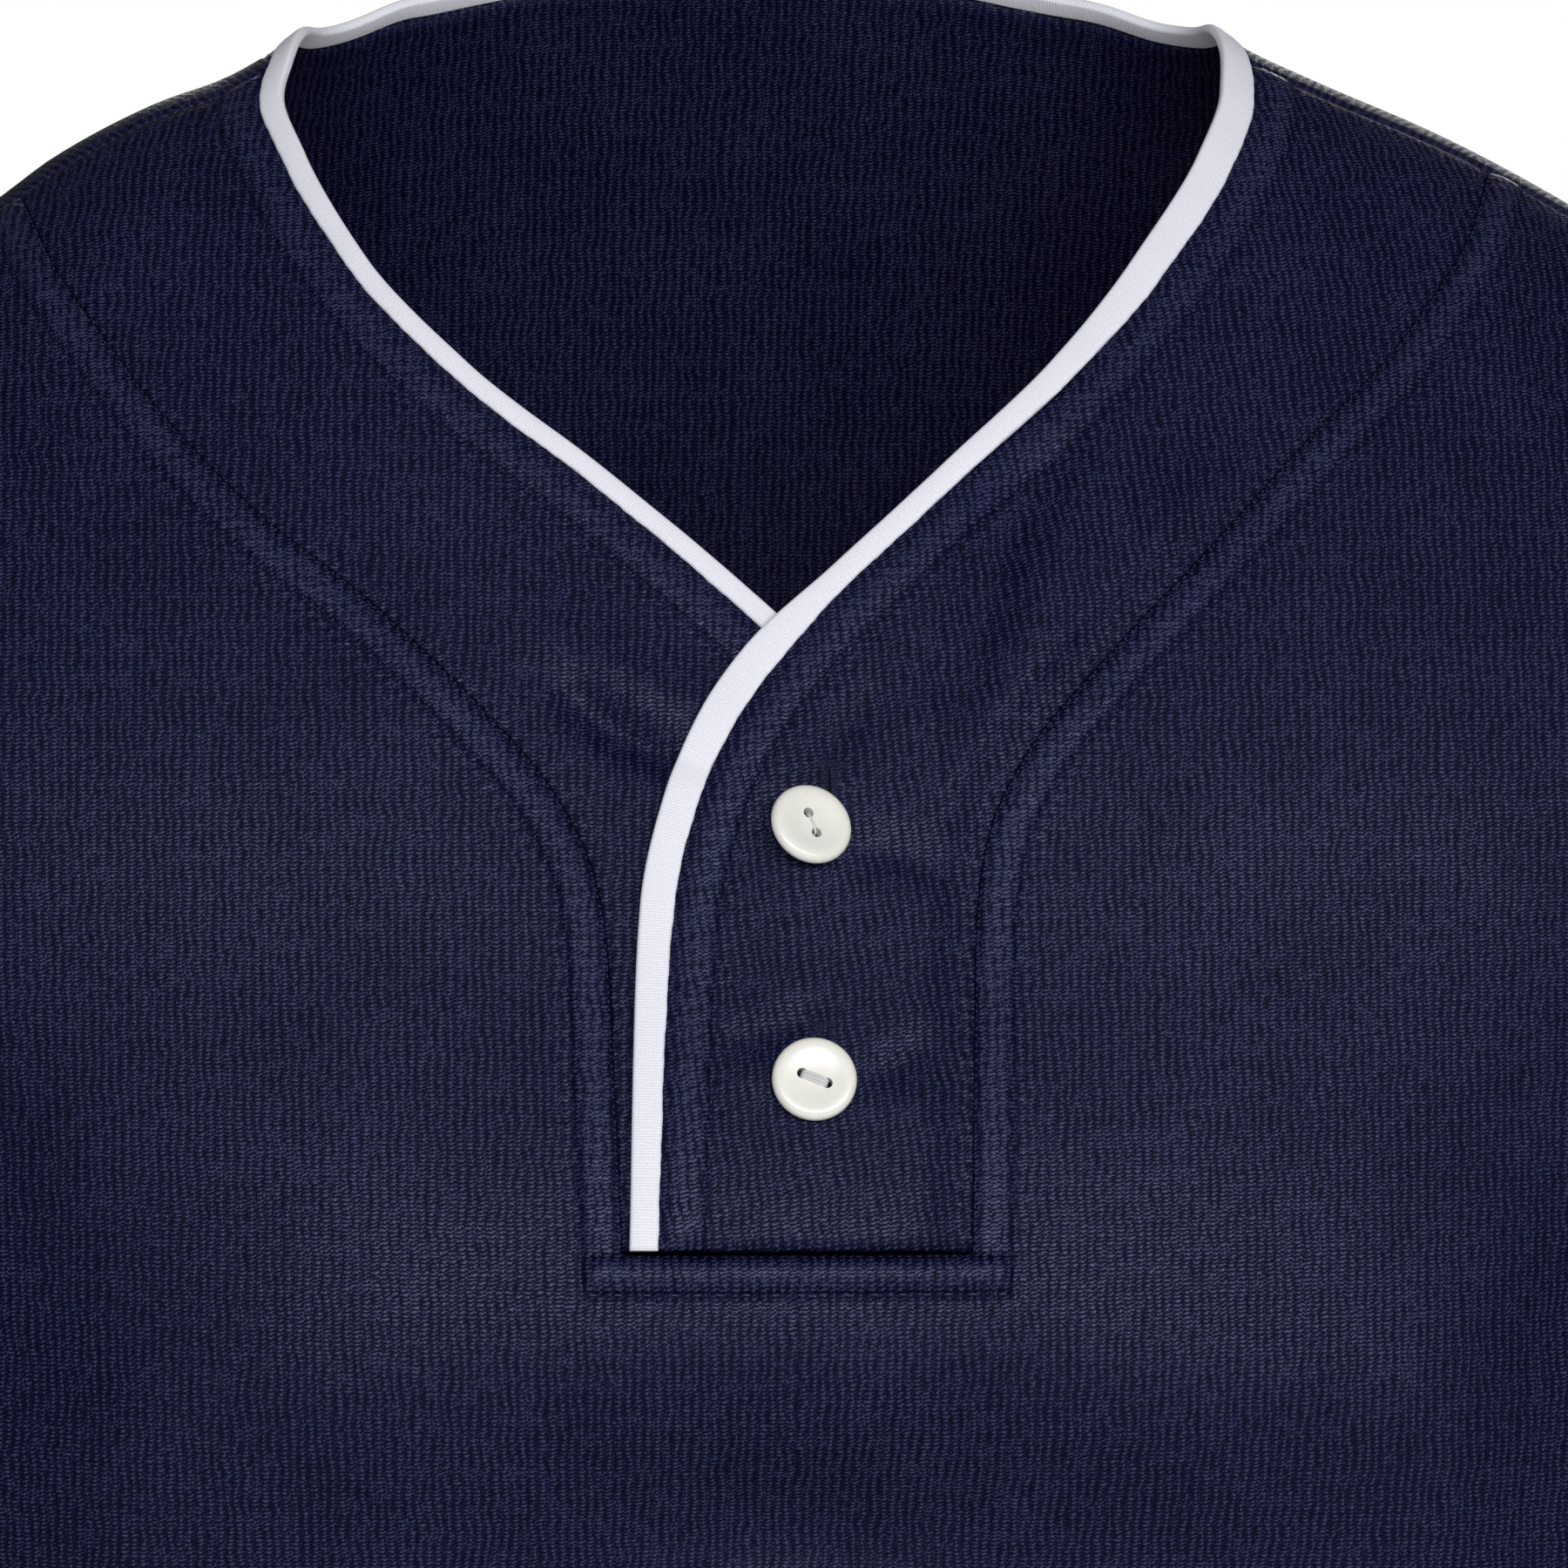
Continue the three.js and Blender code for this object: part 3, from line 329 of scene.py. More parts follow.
def grain_tables(side):
    """How far the cloth runs from the middle and from the chest base."""
    turns = np.linspace(-math.pi / 2, math.pi / 2, 161)
    rises = np.arange(-524.0, 470.0, 4.0)
    points = body_point(turns[None, :], rises[:, None], side)
    u, v = lengths_across(points), lengths_along(points)
    middle, base = len(turns) // 2, int(np.argmin(np.abs(rises)))
    return turns, rises, u - u[:, middle : middle + 1], v - v[base : base + 1]


GRAIN = {side: grain_tables(side) for side in (-1, 1)}


def grain_at(turn, rise, side, tilt=0.0):
    """Place in the cloth's own grain, in millimetres, turned by tilt degrees."""
    turns, rises, u_table, v_table = GRAIN[side]
    a = np.clip((turn - turns[0]) / (turns[1] - turns[0]), 0, len(turns) - 1.001)
    b = np.clip((rise - rises[0]) / (rises[1] - rises[0]), 0, len(rises) - 1.001)
    i, j = b.astype(int), a.astype(int)
    s, t = b - i, a - j
    found = []
    for values in (u_table, v_table):
        low = mix(values[i, j], values[i, j + 1], t)
        high = mix(values[i + 1, j], values[i + 1, j + 1], t)
        found.append(mix(low, high, s))
    angle = math.radians(tilt)
    u, v = found
    return np.stack([u * math.cos(angle) - v * math.sin(angle),
                     u * math.sin(angle) + v * math.cos(angle)], -1)


def front_point(x, rise):
    return body_point(turn_of(x, rise), rise, -1)


class Path:
    """Path over the front of the body through the rows of a table."""

    def __init__(self, rows):
        behind = rows.get("behind", np.zeros(len(rows["x"])))
        rise = rise_of(rows["x"], rows["z"], behind)
        steps = np.hypot(np.diff(rows["x"]), np.diff(rise))
        along = np.concatenate([[0], np.cumsum(steps)])
        self.total = along[-1]
        self.x_at = curve_through(along, rows["x"])
        self.rise_at = curve_through(along, rise)
        self.width_at = curve_through(along, rows["width"]) if "width" in rows else None

    def spot(self, share):
        along = np.asarray(share, float) * self.total
        over = np.maximum(0, along - self.total)
        under = np.minimum(0, along)
        return np.stack([
            self.x_at(along) + over * self.x_at.end_slope + under * self.x_at.start_slope,
            self.rise_at(along) + over * self.rise_at.end_slope + under * self.rise_at.start_slope,
        ])

    def width(self, share):
        return self.width_at(np.asarray(share, float) * self.total)

    def aside(self, share, distance):
        """The spots a given way across the cloth from the path."""
        slope = self.spot(share + SMALL_STEP) - self.spot(share - SMALL_STEP)
        spot = self.spot(share)
        parts, small = 6, 0.05
        for _ in range(parts):
            here = front_point(spot[0], spot[1])
            by_x = (front_point(spot[0] + small, spot[1]) - here) / small
            by_rise = (front_point(spot[0], spot[1] + small) - here) / small
            along = by_x * slope[0][..., None] + by_rise * slope[1][..., None]
            step = unit(np.cross(along, np.cross(by_x, by_rise)))
            step *= (np.broadcast_to(distance, spot[0].shape) / parts)[..., None]
            xx, xr = (by_x**2).sum(-1), (by_x * by_rise).sum(-1)
            rr = (by_rise**2).sum(-1)
            gx, gr = (step * by_x).sum(-1), (step * by_rise).sum(-1)
            scale = xx * rr - xr * xr
            spot = spot + np.stack([(gx * rr - gr * xr), (gr * xx - gx * xr)]) / scale
        return spot

    def even(self, start, end, count):
        """Shares between two that are evenly spaced on the cloth."""
        shares = np.linspace(start, end, 600)
        lengths = lengths_along(front_point(*self.spot(shares)))
        return np.interp(np.linspace(0, lengths[-1], count + 1), lengths, shares)


def seam_rise(x):
    radius = arc_radius(x)
    return radius * np.arcsin(1 - SHOULDER_SEAM_DROP / radius)


def crossing(shares, values):
    """The share at which the values pass through zero for the first time."""
    change = np.nonzero(values[:-1] * values[1:] <= 0)[0][0]
    a, b = values[change], values[change + 1]
    return mix(shares[change], shares[change + 1], a / (a - b))


def shoulder_to_foot(path, start, end, distance, foot_rise, count):
    """Spots beside a path, from the shoulder seam down to the placket's foot."""
    fine = np.linspace(start, end, 500)
    beside = path.aside(fine, distance(fine))
    top = crossing(fine, beside[1] - seam_rise(beside[0]) + SHOULDER_GAP / 2)
    foot = crossing(fine[::-1], (beside[1] - foot_rise)[::-1])
    shares = path.even(top, foot, count)
    shares[-5:-1] = mix(shares[-6], shares[-1], np.array([0.5, 0.8, 0.93, 0.98]))
    return path.aside(shares, distance(shares))


def side_turn(rise):
    return np.arccos((SEAM_GAP / 2 / front_at(CHEST_BASE + rise)) ** (ROUNDNESS / 2))


def armhole_spots(sign, count, from_rise, side, evenness=0.25):
    """Turn and rise down the armhole, closer together under the arm."""
    radius = float(arc_radius(np.array(sign * SHOULDER_END, float)))

    def spots(rise):
        z = np.where(rise > 0, CHEST_BASE + radius * np.sin(rise / radius), CHEST_BASE + rise)
        x = np.where(rise > radius * math.pi / 2, SHOULDER_END, armhole_at(z))
        return sign * np.minimum(turn_of(x, rise), side_turn(rise))

    fine = np.linspace(from_rise, UNDERARM - CHEST_BASE, 500)
    points = body_point(spots(fine), fine, side)
    steps = np.linalg.norm(np.diff(points, axis=0), axis=1) + evenness * np.abs(np.diff(fine))
    lengths = np.concatenate([[0], np.cumsum(steps)])
    rise = np.interp(np.linspace(0, lengths[-1], count + 1), lengths, fine)
    return spots(rise), rise


def shoulder_share(start, end):
    """Where the neck edge crosses a shoulder seam."""
    shares = np.linspace(start, end, 400)
    x, rise = neck.spot(shares)
    return crossing(shares, rise - seam_rise(x))


neck = Path(NECK_EDGE)
LEFT_SHARE, RIGHT_SHARE = shoulder_share(0.2, 0.5), shoulder_share(0.8, 0.5)

# ---------------------------------------------------------------- materials


class Recipe:
    """Short way to write a material's nodes."""

    def __init__(self, name, colour, roughness, **constants):
        self.material = bpy.data.materials.new(name)
        self.material.use_nodes = True
        self.nodes, self.links = self.material.node_tree.nodes, self.material.node_tree.links
        self.shader = self.nodes["Principled BSDF"]
        self.shader.inputs["Base Color"].default_value = (*colour, 1)
        self.shader.inputs["Roughness"].default_value = roughness
        for key, value in constants.items():
            self.shader.inputs[key.replace("_", " ")].default_value = value

    def add(self, kind, inputs=(), **settings):
        node = self.nodes.new(kind)
        for key, value in settings.items():
            setattr(node, key, value)
        for key, value in dict(inputs).items():
            if isinstance(value, bpy.types.NodeSocket):
                self.links.new(value, node.inputs[key])
            else:
                node.inputs[key].default_value = value
        return node

    def math(self, operation, a, b=0.0, c=0.0, clamp=False):
        node = self.add("ShaderNodeMath", {0: a, 1: b, 2: c}, operation=operation, use_clamp=clamp)
        return node.outputs[0]

    def wave(self, value, period, low=0.0, high=1.0):
        """A soft wave of that period between low and high."""
        turned = self.math("MULTIPLY", value, 2 * math.pi / period)
        return self.math("MULTIPLY_ADD", self.math("COSINE", turned), (high - low) / 2,
                         (high + low) / 2)

    def noise(self, vector, scale, detail=2.0, low=0.0, high=1.0):
        noise = self.add("ShaderNodeTexNoise", {"Vector": vector, "Scale": scale, "Detail": detail})
        ranged = self.add("ShaderNodeMapRange", {"Value": noise.outputs[0], "From Min": 0.3,
                                                 "From Max": 0.7, "To Min": low, "To Max": high})
        return ranged.outputs[0]

    def bell(self, value, width):
        """One where the value is zero, falling off over that width."""
        scaled = self.math("DIVIDE", value, width)
        squared = self.math("MULTIPLY", scaled, scaled)
        return self.math("EXPONENT", self.math("MULTIPLY", squared, -1.0))

    def place(self, key):
        """A named place in the cloth, in millimetres, and its two parts."""
        uv = self.add("ShaderNodeUVMap", uv_map=key).outputs[0]
        whole = self.add("ShaderNodeVectorMath", {0: uv, 1: (1000, 1000, 0)}, operation="MULTIPLY")
        parts = self.add("ShaderNodeSeparateXYZ", {0: whole.outputs[0]})
        return whole.outputs[0], parts.outputs[0], parts.outputs[1]

    def bump(self, height, strength, distance):
        node = self.add("ShaderNodeBump", {"Height": height, "Strength": strength,
                                           "Distance": distance})
        normal = self.shader.inputs["Normal"]
        if normal.is_linked:
            self.links.new(normal.links[0].from_socket, node.inputs["Normal"])
        self.links.new(node.outputs[0], normal)

    def ramp(self, factor, *stops):
        node = self.add("ShaderNodeValToRGB", {"Fac": factor})
        ramp = node.color_ramp
        while len(ramp.elements) < len(stops):
            ramp.elements.new(0.5)
        for element, (place, colour) in zip(ramp.elements, stops):
            element.position = place
            element.color = (*colour, 1)
        return node.outputs[0]

    def own_place(self):
        return self.add("ShaderNodeTexCoord").outputs["Object"]

    def feed(self, key, socket):
        self.links.new(socket, self.shader.inputs[key])


def navy_knit():
    """Polyester knit in rows of small loops, with bumped sewing relief beside its seams, painted
    shade in the seam gaps and stitch gullies, and painted highlight on the raised strips.
    """
    r = Recipe("navy_knit", (0.008, 0.009, 0.03), 0.5, Specular_IOR_Level=0.13,
               Specular_Tint=(0.72, 0.76, 1, 1))
    place, u, v = r.place("grain")
    drift = r.noise(place, 0.16, 2, -0.5, 0.5)
    jitter = r.noise(place, 0.9, 1, -0.16, 0.16)
    loop_u = r.math("ADD", u, r.math("ADD", drift, jitter))
    loops = r.wave(loop_u, WALE)
    slant = r.math("WRAP", loop_u, WALE * 2, 0.0)
    row_v = r.math("SUBTRACT", r.math("ADD", v, r.wave(loop_u, WALE, -0.08, 0.08)),
                   r.math("MULTIPLY_ADD", slant, 0.24, r.math("MULTIPLY", jitter, 0.7)))
    rows = r.wave(row_v, COURSE)
    rib = r.wave(loop_u, WALE * 2)
    gap = r.math("MULTIPLY", r.math("POWER", rib, 7.0),
                 r.math("MAXIMUM", r.noise(place, 0.3, 1, 0.15, 1.25), 0.0))
    knit = r.math("MULTIPLY", r.math("POWER", rows, 0.45),
                  r.math("MULTIPLY_ADD", r.math("POWER", loops, 0.5), 0.4, 0.6))
    height = r.math("SUBTRACT", knit, r.math("MULTIPLY", gap, 0.75))
    fleck = r.noise(place, 1.7, 1, -0.16, 0.22)
    patchy = r.noise(place, 0.035, 2, -0.05, 0.05)
    shown = r.math("ADD", r.math("ADD", height, fleck), patchy)

    _, along, to_row = r.place("sewn")
    edge = r.add("ShaderNodeAttribute", attribute_name="from_edge").outputs["Fac"]
    uneven = r.math("ADD", along, r.noise(place, 0.25, 1, -0.6, 0.6))
    row = r.bell(to_row, 0.55)
    dive = r.math("POWER", r.wave(uneven, STITCH_PITCH), 3.0)
    seam = r.math("MULTIPLY", r.bell(edge, 0.55),
                  r.math("MULTIPLY_ADD", r.wave(along, SEAM_PITCH), 0.8, 0.5))
    leaning = r.math("MULTIPLY_ADD", to_row, 0.55, uneven)
    pucker = r.math("MULTIPLY", r.wave(leaning, STITCH_PITCH, -1.0, 1.0),
                    r.math("ADD", r.bell(to_row, 2.6), r.bell(edge, 2.4)))
    sunk = r.math("MULTIPLY", row, r.math("MULTIPLY_ADD", dive, 0.55, 0.5))
    # Painted light and shade: lighter on the pucker crests and darker in their troughs.
    shown = r.math("MULTIPLY_ADD", pucker, 0.07, shown)
    # Painted highlight: the raised strip beside each row of stitches is made lighter.
    strip = r.bell(r.math("ADD", to_row, SEAM_STRIP / 2), 3.2)
    shown = r.math("MULTIPLY_ADD", strip, 0.2, shown)
    hatch = r.math("MULTIPLY", r.math("POWER", r.wave(leaning, STITCH_PITCH), 3.0), strip)
    shown = r.math("SUBTRACT", shown, r.math("MULTIPLY", hatch, 0.2))
    shown = r.math("MULTIPLY_ADD", r.math("SUBTRACT", shown, 0.5), 1.45, 0.44)
    # Painted shade: darker in the topstitch gully and its needle holes (sunk), and in the seam gaps
    # at the pieces' edges (seam).
    shaded = r.math("MULTIPLY_ADD", sunk, 0.24, r.math("MULTIPLY", seam, 0.2))
    shown = r.math("SUBTRACT", shown, shaded)
    shown = r.math("MAXIMUM", r.math("MINIMUM", shown, 1.0), 0.0)
    colour = r.ramp(
        shown,
        (0.0, (0.0002, 0.0003, 0.0068)), (0.32, (0.0009, 0.0012, 0.0155)),
        (0.56, (0.004, 0.005, 0.0285)), (0.78, (0.0118, 0.0138, 0.047)),
        (1.0, (0.037, 0.0405, 0.09)),
    )
    tint = r.ramp(r.noise(place, 0.28, 1, 0.0, 1.0),
                  (0.0, (0.92, 1.02, 1.0)), (0.5, (1, 1, 1)), (1.0, (1.07, 0.97, 1.04)))
    tinted = r.add("ShaderNodeMix", {0: 1.0, 6: colour, 7: tint}, data_type="RGBA",
                   blend_type="MULTIPLY")
    r.feed("Base Color", tinted.outputs[2])
    r.feed("Roughness", r.math("MULTIPLY_ADD", shown, -0.42, 0.66))
    folds = r.math("SUBTRACT", r.math("MULTIPLY", pucker, 0.2),
                   r.math("MULTIPLY_ADD", sunk, 0.8, r.math("MULTIPLY", seam, 0.4)))
    r.bump(height, 0.34, 0.0002)
    r.bump(folds, 0.8, 0.0004)
    return r.material


def white_binding():
    """Fine flat knit of the white binding."""
    r = Recipe("white_binding", (0.79, 0.79, 0.87), 0.82, Sheen_Weight=0.1, Specular_IOR_Level=0.25)
    place, u, v = r.place("grain")
    jitter = r.noise(place, 1.4, 1, -0.1, 0.1)
    across = r.wave(r.math("ADD", u, jitter), 0.52)
    along = r.wave(r.math("ADD", v, jitter), 0.46)
    knit = r.math("MULTIPLY", r.math("POWER", across, 0.6), r.math("MULTIPLY_ADD", along, 0.5, 0.5))
    fluff = r.noise(place, 2.6, 2, -0.12, 0.12)
    shade = r.math("ADD", knit, fluff, clamp=True)
    colour = r.ramp(shade, (0.0, (0.66, 0.66, 0.75)), (0.6, (0.79, 0.79, 0.87)),
                    (1.0, (0.86, 0.86, 0.92)))
    r.feed("Base Color", colour)
    r.bump(shade, 0.35, 0.00012)
    return r.material


def button_gloss():
    """Warm white glossy plastic with a faint milky cloud in it."""
    r = Recipe("button_gloss", (0.76, 0.75, 0.71), 0.32, Coat_Weight=0.12, Coat_Roughness=0.2,
               Specular_IOR_Level=0.4)
    place = r.own_place()
    cloud = r.noise(place, 260, 3, 0.0, 1.0)
    colour = r.ramp(cloud, (0.0, (0.73, 0.72, 0.675)), (1.0, (0.78, 0.77, 0.72)))
    r.feed("Base Color", colour)
    rough = r.noise(place, 900, 2, 0.26, 0.36)
    r.feed("Roughness", rough)
    return r.material


def sewing_thread(name, dark, light, gloss):
    """Twisted sewing thread. Its twist is a slanting stripe on the thread."""
    r = Recipe(name, light, gloss, Specular_IOR_Level=0.15)
    place = r.own_place()
    wave = r.add("ShaderNodeTexWave", {"Vector": place, "Scale": 1900.0, "Distortion": 1.2},
                 bands_direction="DIAGONAL")
    colour = r.ramp(wave.outputs[1], (0.0, dark), (1.0, light))
    r.feed("Base Color", colour)
    r.bump(wave.outputs[1], 0.3, 0.00005)
    return r.material


def floor_finish():
    r = Recipe("pale_floor", (0.86, 0.86, 0.87), 0.85)
    place = r.own_place()
    shade = r.noise(place, 1.5, 2, 0.0, 1.0)
    colour = r.ramp(shade, (0.0, (0.85, 0.85, 0.86)), (1.0, (0.88, 0.88, 0.885)))
    r.feed("Base Color", colour)
    return r.material


NAVY = navy_knit()
WHITE = white_binding()
GLOSS = button_gloss()
NAVY_THREAD = sewing_thread("navy_thread", (0.003, 0.004, 0.02), (0.02, 0.023, 0.058), 0.6)
# Painted highlight: a lighter navy thread that stands in for glints on some stitches.
GLINT_THREAD = sewing_thread("glint_thread", (0.025, 0.028, 0.065), (0.09, 0.1, 0.16), 0.6)
BEAD_THREAD = sewing_thread("bead_thread", (0.008, 0.01, 0.034), (0.045, 0.05, 0.09), 0.6)
# Not thread: a near-black painted shade for the buttonhole slits, made with the thread recipe.
SHADE = sewing_thread("slit_shade", (0.0006, 0.0008, 0.004), (0.002, 0.0025, 0.009), 0.9)
PALE_THREAD = sewing_thread("pale_thread", (0.5, 0.5, 0.52), (0.7, 0.7, 0.71), 0.5)

# ---------------------------------------------------------------- cloth


def mesh_object(name, points, faces, material, places=()):
    """Mesh from points in millimetres, with named places in the cloth at each point."""
    mesh = bpy.data.meshes.new(name)
    mesh.from_pydata((np.asarray(points) * MM).tolist(), [], faces)
    corners = np.empty(len(mesh.loops), dtype=np.int32)
    mesh.loops.foreach_get("vertex_index", corners)
    for key, values in dict(places).items():
        layer = mesh.uv_layers.new(name=key)
        layer.data.foreach_set("uv", (np.asarray(values)[corners] * MM).astype(np.float32).ravel())
    mesh.materials.append(material)
    mesh.polygons.foreach_set("use_smooth", np.ones(len(mesh.polygons), dtype=bool))
    mesh.update()
    piece = bpy.data.objects.new(name, mesh)
    bpy.context.scene.collection.objects.link(piece)
    return piece


def only(piece):
    """Selects that piece alone."""
    bpy.ops.object.select_all(action="DESELECT")
    piece.select_set(True)
    bpy.context.view_layer.objects.active = piece


def edit_all(piece, operation, **settings):
    """Runs a mesh operation on the whole of that piece."""
    only(piece)
    bpy.ops.object.mode_set(mode="EDIT")
    bpy.ops.mesh.select_all(action="SELECT")
    operation(**settings)
    bpy.ops.object.mode_set(mode="OBJECT")


def outward(piece):
    """Turns a closed piece's faces out."""
    edit_all(piece, bpy.ops.mesh.normals_make_consistent, inside=False)
    return piece


def cloth(name, points, grain, out, sewn, from_edge, keep=None, closed=False):
    """A thin shell whose outer face is the grid of points."""
    rows, across = points.shape[:2]
    index = np.arange(rows * across).reshape(rows, across)
    quads = np.stack([index[:-1, :-1], index[:-1, 1:], index[1:, 1:], index[1:, :-1]], -1)
    quads = quads.reshape(-1, 4) if keep is None else quads[keep]
    flat = points.reshape(-1, 3)
    a, b, c = flat[quads[:, 0]], flat[quads[:, 1]], flat[quads[:, 3]]
    if (np.cross(b - a, c - a) * out.reshape(-1, 3)[quads[:, 0]]).sum() < 0:
        quads = quads[:, ::-1]
    used = np.unique(quads)
    place = np.zeros(len(flat), dtype=int)
    place[used] = np.arange(len(used))
    piece = mesh_object(name, flat[used], place[quads].tolist(), NAVY,
                        {"grain": grain.reshape(-1, 2)[used], "sewn": sewn.reshape(-1, 2)[used]})
    edges = piece.data.attributes.new("from_edge", "FLOAT", "POINT")
    edges.data.foreach_set("value", from_edge.reshape(-1)[used].astype(np.float32))
    only(piece)
    if closed:
        edit_all(piece, bpy.ops.mesh.remove_doubles, threshold=0.01 * MM)
    thick = piece.modifiers.new("thickness", "SOLIDIFY")
    thick.thickness = SHELL * MM
    thick.offset = -1
    bpy.ops.object.modifier_apply(modifier=thick.name)
    return piece


def marks(along, to_row):
    """Where a point lies along a row of stitches and how far from it."""
    return np.stack(np.broadcast_arrays(along, to_row), -1)


def edge_drop(t, radius=EDGE_ROLL):
    """How far a rounded edge has dropped, t from the edge."""
    inside = np.clip(radius - t, 0, radius)
    return radius - np.sqrt(radius**2 - inside**2)


def strip_relief(t, strip, along, slant):
    """Sewn strip beside a seam: raised, held down by its row of stitches."""
    raised = STRIP_RISE * smoothstep(t, -0.2, 2) * (1 - smoothstep(t, strip - 0.5, strip + 1.6))
    plump = STRIP_PLUMP * np.sin(math.pi * np.clip(t / strip, 0, 1))
    gully = -GULLY_DEPTH * bell(t, strip, GULLY_WIDTH)
    pulled = np.cos(2 * math.pi * (along / STITCH_PITCH + slant * t / 5.0))
    near = bell(t, 0, 1.5) + 0.9 * bell(t, strip, 1.3)
    return raised + plump + gully + PUCKER * pulled * near - edge_drop(t)


def rolled_edges(points, top=True, foot=True, sides=True):
    """Drop of the outside edges of a grid, where they turn in."""
    down = lengths_along(points)
    across = lengths_across(points)
    drop = np.zeros(points.shape[:2])
    if top:
        drop += edge_drop(down)
    if foot:
        drop += edge_drop(down[-1] - down)
    if sides:
        drop += edge_drop(across) + edge_drop(across[:, -1:] - across)
    return drop


ROWS = 270
# Ways from a seam or an edge at which the cloth's grid has a line.
DROP_STEPS = np.array([0.1, 0.3, 0.6, 1, 1.6, 2.5, 3.6, 4.8, 5.8, 6.5, 6.9, 7.3, 7.8, 8.6, 10])
STRIP_STEPS = np.concatenate([[-0.2], DROP_STEPS, [12]])
NECK_STEPS = np.array([-0.28, 0, 0.3, 0.6, 1, 1.7, 2.8, 4.2, 5.6, 6.8, 7.5, 7.9, 8.3, 8.8, 9.6,
                       11, 13])
SEAM_STEPS = np.array([3.6, 2.4, 1.6, 1, 0.6, 0.3, 0.1, -0.2])
YOKE_COLUMNS = 40
BAND_COLUMNS = 26
MIDDLE_COLUMNS = 50
FOOT_RISE = PLACKET_BOTTOM - CHEST_BASE
HEM_DROP = FOOT_RISE - SEAM_GAP - HEM_RISE


def settle_on_shoulder(wide):
    """Moves the top row of a grid of x and rise onto the shoulder seam."""
    amiss = seam_rise(wide[0, 0]) - SHOULDER_GAP / 2 - wide[1, 0]
    fade = np.clip(1 - np.arange(wide.shape[1]) / 22, 0, 1) ** 2
    wide[1] += amiss[None, :] * fade[:, None]
    return wide


def beside_seam(rows, steps, way, foot):
    """Lines of x and rise beside a band seam, one for each step."""
    path = Path(rows)
    lines = []
    for t in steps:
        away = way * (t + SEAM_GAP / 2)
        lines.append(shoulder_to_foot(path, -0.2, 1.12, lambda s: np.full(np.shape(s), away),
                                      foot, ROWS))
    return np.stack(lines, -1)


def beside_neck(start, end, steps):
    """Lines of x and rise beside the binding, one for each step."""
    past = 0.04 if end > start else -0.04
    lines = []
    for t in steps:
        lines.append(shoulder_to_foot(neck, start - past, end + past / 2,
                                      lambda s: neck.width(s) + SEAM_GAP + t, FOOT_RISE, ROWS))
    return np.stack(lines, -1)


def yoke(sign, rows):
    """Turn, rise and way from the seam on one side of the upper front."""
    strip = beside_seam(rows, STRIP_STEPS, -sign, FOOT_RISE - SEAM_GAP)
    start = float(seam_rise(np.array(sign * SHOULDER_END, float))) - SHOULDER_GAP / 2
    outer_turn, outer_rise = armhole_spots(sign, ROWS, start, -1)
    strip_turn = turn_of(strip[0], strip[1])
    share = np.linspace(0, 1, YOKE_COLUMNS + 1)[1:] ** 1.15
    wide_turn = mix(strip_turn[:, -1:], outer_turn[:, None], share)
    wide_rise = mix(strip[1][:, -1:], outer_rise[:, None], share)
    wide = settle_on_shoulder(np.stack([sideways(wide_turn, wide_rise), wide_rise]))
    turn = np.concatenate([strip_turn, wide_turn], axis=1)
    rise = np.concatenate([strip[1], wide[1]], axis=1)
    aside = np.concatenate([STRIP_STEPS, 20 + 8 * share * YOKE_COLUMNS])
    return turn, rise, np.broadcast_to(aside, turn.shape)


def front_grid():
    """The whole front: both yokes, the strip under the placket and below."""
    right = [part[:, ::-1] for part in yoke(-1, RIGHT_SEAM)]
    left = yoke(1, LEFT_SEAM)
    edge = right[0].shape[1] - 1
    xs = mix(sideways(right[0][-1, -1], right[1][-1, -1]), sideways(left[0][-1, 0], left[1][-1, 0]),
             np.arange(1, MIDDLE_COLUMNS) / MIDDLE_COLUMNS)
    foot = FOOT_RISE - SEAM_GAP
    shape = (ROWS + 1, MIDDLE_COLUMNS - 1)
    middle = [np.broadcast_to(turn_of(xs, np.full(xs.shape, float(foot))), shape),
              np.full(shape, float(foot)), np.full(shape, -5.0)]
    turn, rise, aside = [np.concatenate(parts, axis=1) for parts in zip(right, middle, left)]
    drops = np.concatenate([DROP_STEPS, 10 + (HEM_DROP - 10) * np.linspace(0, 1, 70)[1:] ** 1.12])
    last_x = sideways(turn[-1], rise[-1])
    hem_turn = np.sign(last_x) * np.arcsin(
        np.minimum(1, np.abs(last_x) / half_width_at(UNDERARM)) ** (ROUNDNESS / 2))
    hem_turn[[0, -1]] = np.sign(last_x[[0, -1]]) * side_turn(np.array(HEM_RISE, float))
    share = (drops / HEM_DROP)[:, None]
    low_turn = mix(turn[-1][None, :], hem_turn[None, :], share)
    low_rise = mix(rise[-1][None, :], HEM_RISE, share)
    low_aside = np.maximum(aside[-1][None, :], drops[:, None])
    return (np.concatenate([turn, low_turn]), np.concatenate([rise, low_rise]),
            np.concatenate([aside, low_aside]), edge)


